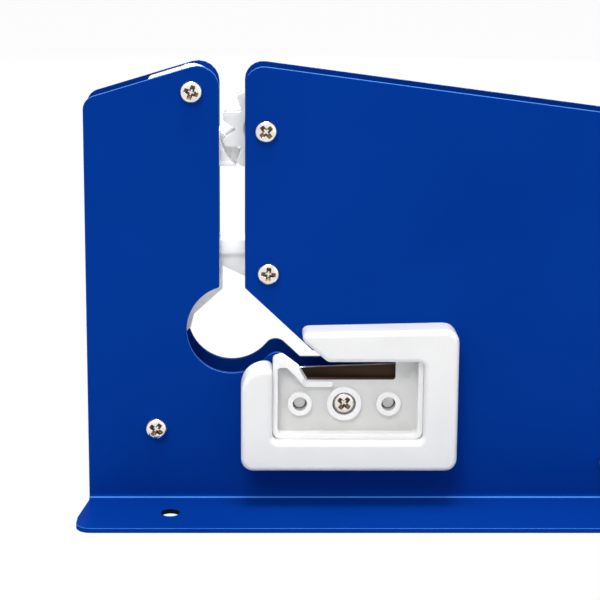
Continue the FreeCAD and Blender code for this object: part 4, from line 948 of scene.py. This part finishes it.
HOOK, PRESSER_POST = (23.2, 137.4), (23.2, 104)
LEVER_EYE, LEVER_POST, LEVER_STOP = (74.6, 79.4), (74.6, 59.4), (66.1, 99.4)
PRESSER_STOP = (24, 132.7)
standing = [post(*place, POST_RADIUS, POST_FRONT, INNER)
            for place in (PRESSER_POST, LEVER_POST, LEVER_STOP)]
fit(joined(standing), "post_group", "frame", "turned_steel", (turned_steel,), "posts")
fit(post(*PRESSER_STOP, POST_RADIUS, STOP_FRONT, INNER), "stop_post", "frame", "turned_steel",
    (turned_steel,), "presser_stop")
fit(post(*HOOK, POST_RADIUS, -ARM_HALF, ARM_HALF), "cross_pin", "presser", "turned_steel",
    (turned_steel,), "hook_pin")

# %% [markdown]
# The wheel feeds the sealing tape. Each of its ten teeth is a tapered finger with a round tip, and
# the flanks of neighbours meet in a small round. One loop goes round the axis and writes the
# outline tooth by tooth. A groove round the middle, a dish in each side and the bore are then
# turned out of it.

# %% Star wheel
TEETH, TIP_RADIUS, TIP_HALF = 10, 14.4, 1.35
VALLEY_RADIUS, TOOTH_PHASE = 9.5, 162
TIP_ROUND, VALLEY_ROUND = 1, 0.6
WHEEL_HALF, GROOVE_HALF, GROOVE_FLOOR = 4.8, 1.7, 7.9
DISH_OUT, DISH_IN, DISH_DEPTH, WHEEL_BORE = 7.4, 6.6, 1.2, 5.06


def wheel_outline():
    corners = []
    for tooth in range(TEETH):
        turn = math.radians(TOOTH_PHASE + 360 / TEETH * tooth)
        next_valley = turn + math.pi / TEETH
        out = Vector((math.cos(turn), math.sin(turn)))
        side = Vector((-out.y, out.x))
        valley = VALLEY_RADIUS * Vector((math.cos(next_valley), math.sin(next_valley)))
        tips = [out * TIP_RADIUS - side * TIP_HALF, out * TIP_RADIUS + side * TIP_HALF]
        for corner, radius in ((tips[0], TIP_ROUND), (tips[1], TIP_ROUND), (valley, VALLEY_ROUND)):
            corners.append((WHEEL[0] + corner.x, WHEEL[1] + corner.y, radius))
    return corners


wheel = block(wheel_outline(), -WHEEL_HALF, WHEEL_HALF)
beyond = TIP_RADIUS + 2 * PAST
groove = turned(*WHEEL, [(GROOVE_FLOOR, -GROOVE_HALF), (beyond, -GROOVE_HALF), (beyond, GROOVE_HALF),
                         (GROOVE_FLOOR, GROOVE_HALF)])
dish = WHEEL_HALF - DISH_DEPTH
core = turned(*WHEEL, [(0, -INNER), (DISH_OUT, -INNER), (DISH_OUT, -WHEEL_HALF), (DISH_IN, -dish),
                       (WHEEL_BORE, -dish), (WHEEL_BORE, dish), (DISH_IN, dish),
                       (DISH_OUT, WHEEL_HALF), (DISH_OUT, INNER), (0, INNER)])
combine(wheel, [groove, core], "DIFFERENCE")
soften(wheel, 0.3)
fit(wheel, "tape_wheel", "wheel", "white_plastic", (wheel_white,), "star_wheel")

# %% [markdown]
# The presser arm hangs from the top of the tower. Its middle web reaches into the wheel's groove as
# the nose, and its cheeks are cut away round the teeth. The tail is slit for the spring, which hooks
# on a cross pin there. A three sided pocket in the front of the nose saves plastic.

# %% Presser arm
NOSE_HALF, NOSE_CLEAR = 1.2, 15.2
PIVOT_BORE, PIVOT_RADIUS, HOOK_BORE = 5.06, 7.5, 1.65
SLIT_END, SLIT_HALF = 25.95, 2.75
POCKET_FLOOR = -5.9
MOULDED_EDGE = 0.4

arm = block([(40.4, 115, 1), (51.05, 115, 1.2), (51.4, 118.7, 1.5), (43.4, 126.7, 3),
             (42.6, PRESSER[1]), (27.6, PRESSER[1]), (30.1, 133, 2)], -ARM_HALF, ARM_HALF)
tail = block([(20.5, 134.6, 1), (PRESSER[0], 134.6), (PRESSER[0], 147), (32.7, 146.6),
              (20.5, 142.8, 1.5)], -ARM_HALF, ARM_HALF)
combine(arm, [tail, rod(*PRESSER, PIVOT_RADIUS, -ARM_HALF, ARM_HALF)], "UNION")
cheeks = [rod(*WHEEL, NOSE_CLEAR, -INNER - PAST, -NOSE_HALF),
          rod(*WHEEL, NOSE_CLEAR, NOSE_HALF, INNER + PAST)]
pocket = block([(44, 116.6, 0.4), (48.8, 116.6, 0.4), (44, 120.3, 0.4)], POCKET_FLOOR, -INNER - PAST)
slit = block([(17, 131), (SLIT_END, 131), (SLIT_END, 149), (17, 149)], -SLIT_HALF, SLIT_HALF)
bores = joined([rod(*PRESSER, PIVOT_BORE, -INNER - PAST, INNER + PAST),
                rod(*HOOK, HOOK_BORE, -INNER - PAST, INNER + PAST, 32)])
combine(arm, [joined(cheeks), pocket, slit, bores], "DIFFERENCE")
soften(arm, MOULDED_EDGE)
fit(arm, "presser_moulding", "presser", "white_plastic", (shade_lifted_white,), "presser_arm")

# %% [markdown]
# The cutter lever is one moulding. Its paddle closes the slot, its mast carries a toothed knife at
# the top, and its tail ends in an eye for a spring. The parts are pulled out one by one, to their
# own depths, and then joined with booleans into one skin.

# %% Cutter lever
PADDLE_BACK, PADDLE_STEP = 3.9, 1.6
BOSS_TURNED = 7
MAST_HALF, MAST_TOP, MAST_DEPTH = 4, 105.8, 3
SEAT_LOW, KNIFE_SEAT_HALF, SEAT_DEPTH = 102.8, 4.35, 5.2
TAIL_HALF, TAIL_DEPTH, EYE_RADIUS, EYE_BORE = 3, 1, 3, 0.9


def upright_bar(half, low, depth):
    """A bar over the lever's axis, from a height up to the top of the mast."""
    left, right = LEVER[0] - half, LEVER[0] + half
    return block([(left, low), (right, low), (right, MAST_TOP), (left, MAST_TOP)], -depth, depth)


lever = block([(43.4, 82.1, 1), (52.2, 77.8, 3), (60.2, 72.4), (66.85, 79.4), (60.2, 90.3),
               (43.4, 90.3, 1)], -ARM_HALF, PADDLE_BACK)
tail = block([(LEVER[0], LEVER[1] - TAIL_HALF), (LEVER_EYE[0], LEVER[1] - TAIL_HALF),
              (LEVER_EYE[0], LEVER[1] + TAIL_HALF), (LEVER[0], LEVER[1] + TAIL_HALF)],
             -TAIL_DEPTH, TAIL_DEPTH)
raised = [rod(*LEVER, BOSS_TURNED, -ARM_HALF, ARM_HALF), upright_bar(MAST_HALF, LEVER[1], MAST_DEPTH),
          upright_bar(KNIFE_SEAT_HALF, SEAT_LOW, SEAT_DEPTH), tail,
          rod(*LEVER_EYE, EYE_RADIUS, -TAIL_DEPTH, TAIL_DEPTH)]
combine(lever, raised, "UNION")
step = block([(40, 72.4), (53.2, 72.4), (53.2, 85.6), (40, 85.6)],
             -ARM_HALF + PADDLE_STEP, -INNER - PAST)
bores = joined([rod(*LEVER, PIVOT_BORE, -INNER - PAST, INNER + PAST),
                rod(*LEVER_EYE, EYE_BORE, -TAIL_DEPTH - PAST, TAIL_DEPTH + PAST, 32)])
combine(lever, [step, bores], "DIFFERENCE")
soften(lever, MOULDED_EDGE)
fit(lever, "lever_moulding", "lever", "white_plastic", (shade_lifted_white,), "cutter_lever")

# %% [markdown]
# The knife is a thin strip with teeth along one side. Its outline is drawn upright, as all the
# others are, and the strip is then laid flat on top of the mast. The two rivets are turned from
# their profile and stood up the same way.

# %% Tape knife and rivets
KNIFE_TOP, KNIFE_TOOTH, KNIFE_COUNT = 106.4, 1.6, 8
KNIFE_REACH, KNIFE_BACK = 6.8, 5.4
KNIFE_HALF = KNIFE_TOOTH * KNIFE_COUNT / 2
RIVET_HALF = 3
UPRIGHT = 90

teeth = []
for i in range(KNIFE_COUNT):
    low = -KNIFE_HALF + KNIFE_TOOTH * i
    teeth += [(ORIGIN - KNIFE_REACH, low), (ORIGIN - KNIFE_REACH + KNIFE_TOOTH, low + KNIFE_TOOTH / 2)]
strip = block([*reversed(teeth), (ORIGIN + KNIFE_BACK, -KNIFE_HALF), (ORIGIN + KNIFE_BACK, KNIFE_HALF),
               (ORIGIN - KNIFE_REACH, KNIFE_HALF)], MAST_TOP - KNIFE_TOP, 0)
knife = copied(strip, [((LEVER[0], 0, KNIFE_TOP), (UPRIGHT, 0, 0))])
soften(knife, 0.05, 1)
fit(knife, "knife_strip", "lever", "blade_steel", (knife_steel,), "tape_knife")

rivet = turned(ORIGIN, 0, [(0, -3.6), (1.2, -3.6), (1.2, 0), (1.9, 0), (1.85, 0.35), (1.6, 0.62),
                           (1, 0.77), (0, 0.8)], 32)
pair = [((LEVER[0], y, KNIFE_TOP), (UPRIGHT, 0, 0)) for y in (-RIVET_HALF, RIVET_HALF)]
fit(copied(rivet, pair), "rivet_pair", "lever", "turned_steel", (turned_steel,), "knife_rivets")

# %% [markdown]
# The throat guide is a moulded cheek behind the throat. Through the round opening its edge shows as
# a white crescent. It is held by the lower tube and by a peg in the back plate.

# %% Throat guide
GUIDE_FRONT, EYE_WALL, EYE_FIT = 4.2, 7.4, 5.05

guide = block([(45, 82, 0.8), (45, 71), (35.3, 62.1), (34.2, 57.5), (30.5, 54), (28.9, SPACER[1]),
               (16.9, SPACER[1]), (20.5, 60.2, 3), (30, 76, 1), (38, 76, 1), (41.5, 82, 0.8)],
              GUIDE_FRONT, INNER)
combine(guide, [rod(*SPACER, EYE_WALL, -INNER, INNER),
                rod(*GUIDE_PEG, PEG_RADIUS, INNER - PAST, OUTER, 24)], "UNION")
combine(guide, [rod(*SPACER, EYE_FIT, -INNER - PAST, INNER + PAST)], "DIFFERENCE")
soften(guide, MOULDED_EDGE)
fit(guide, "guide_moulding", "frame", "white_plastic", (shade_lifted_white,), "throat_guide")

# %% [markdown]
# Both springs are close wound. A small ring stands beside the axis, and a Screw modifier winds it
# up: one turn for each wire thickness. The winding starts where the lower loop ends and stops at
# the upper one.

# %% Springs
WIRE, COIL_OUTER, LOOP_RADIUS = 0.8, 2.4, 2.3
LOOP_REACH = 1.8
WIRE_FACETS, TURN_STEPS, LOOP_STEPS = 10, 28, 40
COIL_GAP = 0.06
EYE_LOOP_Z, EYE_LOOP_TURN = 77.1, 90


def wire_ring(u, z, turn):
    """A round loop that lies over a pin, in the plane that a turn about Z gives."""
    bpy.ops.mesh.primitive_torus_add(
        location=spot(u, 0, z), rotation=(math.pi / 2, 0, math.radians(turn)),
        major_radius=LOOP_RADIUS * MM, minor_radius=WIRE / 2 * MM,
        major_segments=LOOP_STEPS, minor_segments=WIRE_FACETS)
    bpy.ops.object.transform_apply(location=True, rotation=True, scale=True)
    return bpy.context.object


def spring(name, u, low_z, high_z, upper_turn, body, node):
    clear_selection()
    start, end = low_z + LOOP_REACH, high_z - LOOP_REACH
    turns = round((end - start - WIRE) / (WIRE + COIL_GAP))
    bpy.ops.mesh.primitive_circle_add(
        vertices=WIRE_FACETS, radius=WIRE / 2 * MM, rotation=(math.pi / 2, 0, 0),
        location=spot(ORIGIN + COIL_OUTER - WIRE / 2, 0, start + WIRE / 2))
    bpy.ops.object.transform_apply(location=True, rotation=True, scale=True)
    coil = bpy.context.object
    winding = coil.modifiers.new("winding", "SCREW")
    winding.axis = "Z"
    winding.angle = 2 * math.pi
    winding.iterations = turns
    winding.screw_offset = (end - start - WIRE) / turns * MM
    winding.steps = TURN_STEPS
    winding.render_steps = TURN_STEPS
    apply_modifiers(coil)
    pick(coil, "EDGE", lambda edge: edge.is_boundary)
    bpy.ops.mesh.fill()
    close_edit()
    tidy_normals(coil)
    coil = copied(coil, [((u, 0, 0), (0, 0, 0))])
    slack = LOOP_RADIUS - WIRE / 2 - POST_RADIUS
    high_slack = 0 if upper_turn else slack
    loops = [wire_ring(u, low_z + slack, 0), wire_ring(u, high_z - high_slack, upper_turn)]
    piece = fit(joined([coil, *loops]), name, None, "spring_steel", (spring_steel,), node)
    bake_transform(piece)
    print("%s: %d turns" % (name, turns))


spring("presser_coil", *PRESSER_POST, HOOK[1], 0, "presser", "presser_spring")
spring("lever_coil", *LEVER_POST, EYE_LOOP_Z, EYE_LOOP_TURN, "lever", "lever_spring")

# %% [markdown]
# At the reel end a tape roll's core slips over a hub, and the hub turns on an axle that drops into
# the open slots. Rim, web and boss are one turned profile. Five windows are cut into the web, and
# three ribs on the rim grip the core.

# %% Reel hub
HUB_RADIUS, HUB_WALL, HUB_HALF, BOSS, WEB_HALF = 37.8, 2.6, 5.7, 8, 1.2
WINDOWS, WINDOW_RADIUS, WINDOW_PLACE = 5, 8.4, 21.6
GRIPS, GRIP_HALF_WIDTH, GRIP_OUT, GRIP_HALF = 3, 2.5, 0.8, 3.1
HUB_BORE, DRAFT, FILLET, GRIP_ROUND = 4.06, 0.2, 0.8, 0.7
rim = HUB_RADIUS - HUB_WALL
side = [(HUB_BORE, 0), (HUB_BORE, HUB_HALF), (BOSS - DRAFT, HUB_HALF), (BOSS, WEB_HALF + FILLET),
        (BOSS + FILLET, WEB_HALF), (rim - FILLET, WEB_HALF), (rim, WEB_HALF + FILLET),
        (rim + DRAFT, HUB_HALF), (HUB_RADIUS, HUB_HALF)]
profile = side + [(radius, -y) for radius, y in reversed(side[1:])]
hub = turned(*AXLE, profile, 120)
windows = []
for i in range(WINDOWS):
    turn = math.radians(90 + 360 / WINDOWS * i)
    place = AXLE[0] + WINDOW_PLACE * math.cos(turn), AXLE[1] + WINDOW_PLACE * math.sin(turn)
    windows.append(rod(*place, WINDOW_RADIUS, -2 * WEB_HALF, 2 * WEB_HALF, 72))
low, high = HUB_RADIUS - PAST, HUB_RADIUS + GRIP_OUT
grip = block([(ORIGIN - GRIP_HALF_WIDTH, low), (ORIGIN + GRIP_HALF_WIDTH, low),
              (ORIGIN + GRIP_HALF_WIDTH, high, GRIP_ROUND), (ORIGIN - GRIP_HALF_WIDTH, high, GRIP_ROUND)],
             -GRIP_HALF, GRIP_HALF)
grips = copied(grip, [((AXLE[0], 0, AXLE[1]), (0, 360 / GRIPS * i, 0)) for i in range(GRIPS)])
combine(hub, [joined(windows)], "DIFFERENCE")
combine(hub, [grips], "UNION")
soften(hub, 0.3, 2)
fit(hub, "hub_moulding", "hub", "white_plastic", (guard_white,), "reel_hub")

# %% [markdown]
# The axle is a rod with a cap at each end, and the caps keep it from sliding out sideways. Half of
# its profile is drawn and mirrored, since both ends are alike. A thin washer on each side keeps the
# hub from rubbing on the plates.

# %% Reel axle and washers
AXLE_RADIUS, CAP_RADIUS, ROD_HALF, CAP_FACE = 4, 8, OUTER + 0.5, OUTER + 5.5
WASHER_RADIUS, WASHER_THICK, WASHER_FIT = 8.5, 0.8, 0.05
half = [(0, -CAP_FACE), (CAP_RADIUS - 1.9, -CAP_FACE), (CAP_RADIUS - 0.8, -CAP_FACE + 0.3),
        (CAP_RADIUS - 0.2, -CAP_FACE + 0.95), (CAP_RADIUS, -CAP_FACE + 1.7),
        (CAP_RADIUS, -ROD_HALF - 0.3), (CAP_RADIUS - 0.3, -ROD_HALF), (AXLE_RADIUS, -ROD_HALF)]
axle = turned(*AXLE, half + [(radius, -y) for radius, y in reversed(half)])
fit(axle, "axle_with_caps", "reel", "turned_steel", (turned_steel,), "reel_axle")
bore = AXLE_RADIUS + WASHER_FIT
washers = []
for near in (-ARM_HALF, HUB_HALF + SIDE_PLAY):
    washers.append(turned(*AXLE, [(bore, near), (WASHER_RADIUS, near), (WASHER_RADIUS, near + WASHER_THICK),
                                  (bore, near + WASHER_THICK)]))
washers = joined(washers)
soften(washers, 0.15, 2)
fit(washers, "washer_pair", "reel", "nylon", (washer_nylon,), "reel_washers")

# %% [markdown]
# The photo shows the sealer cut out on pure white, yet lit as in a studio. So the floor and the
# world are white to the camera and to what mirrors them, while the light that they really throw is
# kept lower. A Light Path node tells these rays apart.

# %% Floor and backdrop
FLOOR_SIZE, FLOOR_GREY, FLOOR_GLOW = 6, (0.7, 0.7, 0.7), 0.95
WORLD_LOW, WORLD_WHITE = 0.5, 1.0
WHITE_LIGHT = (1, 1, 1, 1)


def seen_directly(nodes, links):
    """1 for rays that come from the camera, a mirror or clear material, otherwise 0."""
    path = nodes.new("ShaderNodeLightPath")
    total = path.outputs["Is Camera Ray"]
    for kind in ("Is Glossy Ray", "Is Transmission Ray"):
        either = nodes.new("ShaderNodeMath")
        either.operation = "MAXIMUM"
        links.new(total, either.inputs[0])
        links.new(path.outputs[kind], either.inputs[1])
        total = either.outputs[0]
    return total


clear_selection()
bpy.ops.mesh.primitive_plane_add(size=FLOOR_SIZE, location=(0, 0, 0))
floor = bpy.context.object
floor.name = "floor"
floor_paint, nodes, links = new_paint("floor_white")
shader(nodes).inputs["Base Color"].default_value = (*FLOOR_GREY, 1)
shader(nodes).inputs["Roughness"].default_value = 0.9
shader(nodes).inputs["Specular IOR Level"].default_value = 0.1
bright = nodes.new("ShaderNodeEmission")
bright.inputs["Color"].default_value = WHITE_LIGHT
share = nodes.new("ShaderNodeMath")
share.operation = "MULTIPLY"
share.inputs[1].default_value = FLOOR_GLOW
mixed = nodes.new("ShaderNodeMixShader")
links.new(seen_directly(nodes, links), share.inputs[0])
links.new(share.outputs[0], mixed.inputs["Fac"])
links.new(shader(nodes).outputs["BSDF"], mixed.inputs[1])
links.new(bright.outputs["Emission"], mixed.inputs[2])
links.new(mixed.outputs["Shader"], nodes["Material Output"].inputs["Surface"])
floor.data.materials.append(floor_paint)

world = bpy.data.worlds.new("studio")
bpy.context.scene.world = world
world.use_nodes = True
nodes, links = world.node_tree.nodes, world.node_tree.links
level = nodes.new("ShaderNodeMapRange")
level.inputs["To Min"].default_value = WORLD_LOW
level.inputs["To Max"].default_value = WORLD_WHITE
links.new(seen_directly(nodes, links), level.inputs["Value"])
nodes["Background"].inputs["Color"].default_value = WHITE_LIGHT
links.new(level.outputs["Result"], nodes["Background"].inputs["Strength"])
print("world throws %.1f and shows %.1f" % (WORLD_LOW, WORLD_WHITE))

# %% [markdown]
# The shadows tell where the lamps were: the guard throws one about 8 mm down the plate, soft at its
# edge, and screws throw theirs down and to the right. So the key stands high in front and a little
# to the left. A weak fill keeps the right from going dark, a lamp overhead lights the flange and the
# edges, and one behind shines through the slot on the wheel and the levers.

# %% Lamps


def lamp(name, place, aim, size, power):
    clear_selection()
    bpy.ops.object.light_add(type="AREA", location=place)
    light = bpy.context.object
    light.name = name
    light.data.shape = "DISK"
    light.data.size = size
    light.data.energy = power
    light.rotation_euler = (Vector(aim) - Vector(place)).to_track_quat("-Z", "Y").to_euler()
    return light


AIM = (-0.05, 0, 0.07)
lamp("key", (-0.65, -1.5, 1.83), AIM, 0.9, 25)
lamp("fill", (0.8, -0.7, 0.35), AIM, 0.8, 1.5)
lamp("top", (-0.05, -0.12, 1.15), AIM, 0.5, 9.2)
lamp("behind", (0.15, 1.2, 0.45), AIM, 0.8, 10)
print("four lamps")

# %% [markdown]
# The photo shows the slot end from a little above, cropped out of a wider picture. A crop is what a
# lens shift gives: the camera looks straight along the depth, tilted down by eleven degrees, and
# the shift moves the frame over to the slot end.

# %% Camera
CAMERA_PLACE = (-0.08313, -0.53689, 0.20983)
TILT, LENS, SENSOR = 10.808, 99, 36
SHIFT_RIGHT, SHIFT_UP = 0.10, -0.1917

bpy.ops.object.camera_add(location=CAMERA_PLACE, rotation=(math.radians(90 - TILT), 0, 0))
eye = bpy.context.object
eye.name = "shop_view"
eye.data.sensor_width = SENSOR
eye.data.lens = LENS
eye.data.shift_x = SHIFT_RIGHT
eye.data.shift_y = SHIFT_UP
bpy.context.scene.camera = eye
bpy.context.scene.view_settings.view_transform = "Standard"
print("the camera stands %.2f m in front" % -CAMERA_PLACE[1])
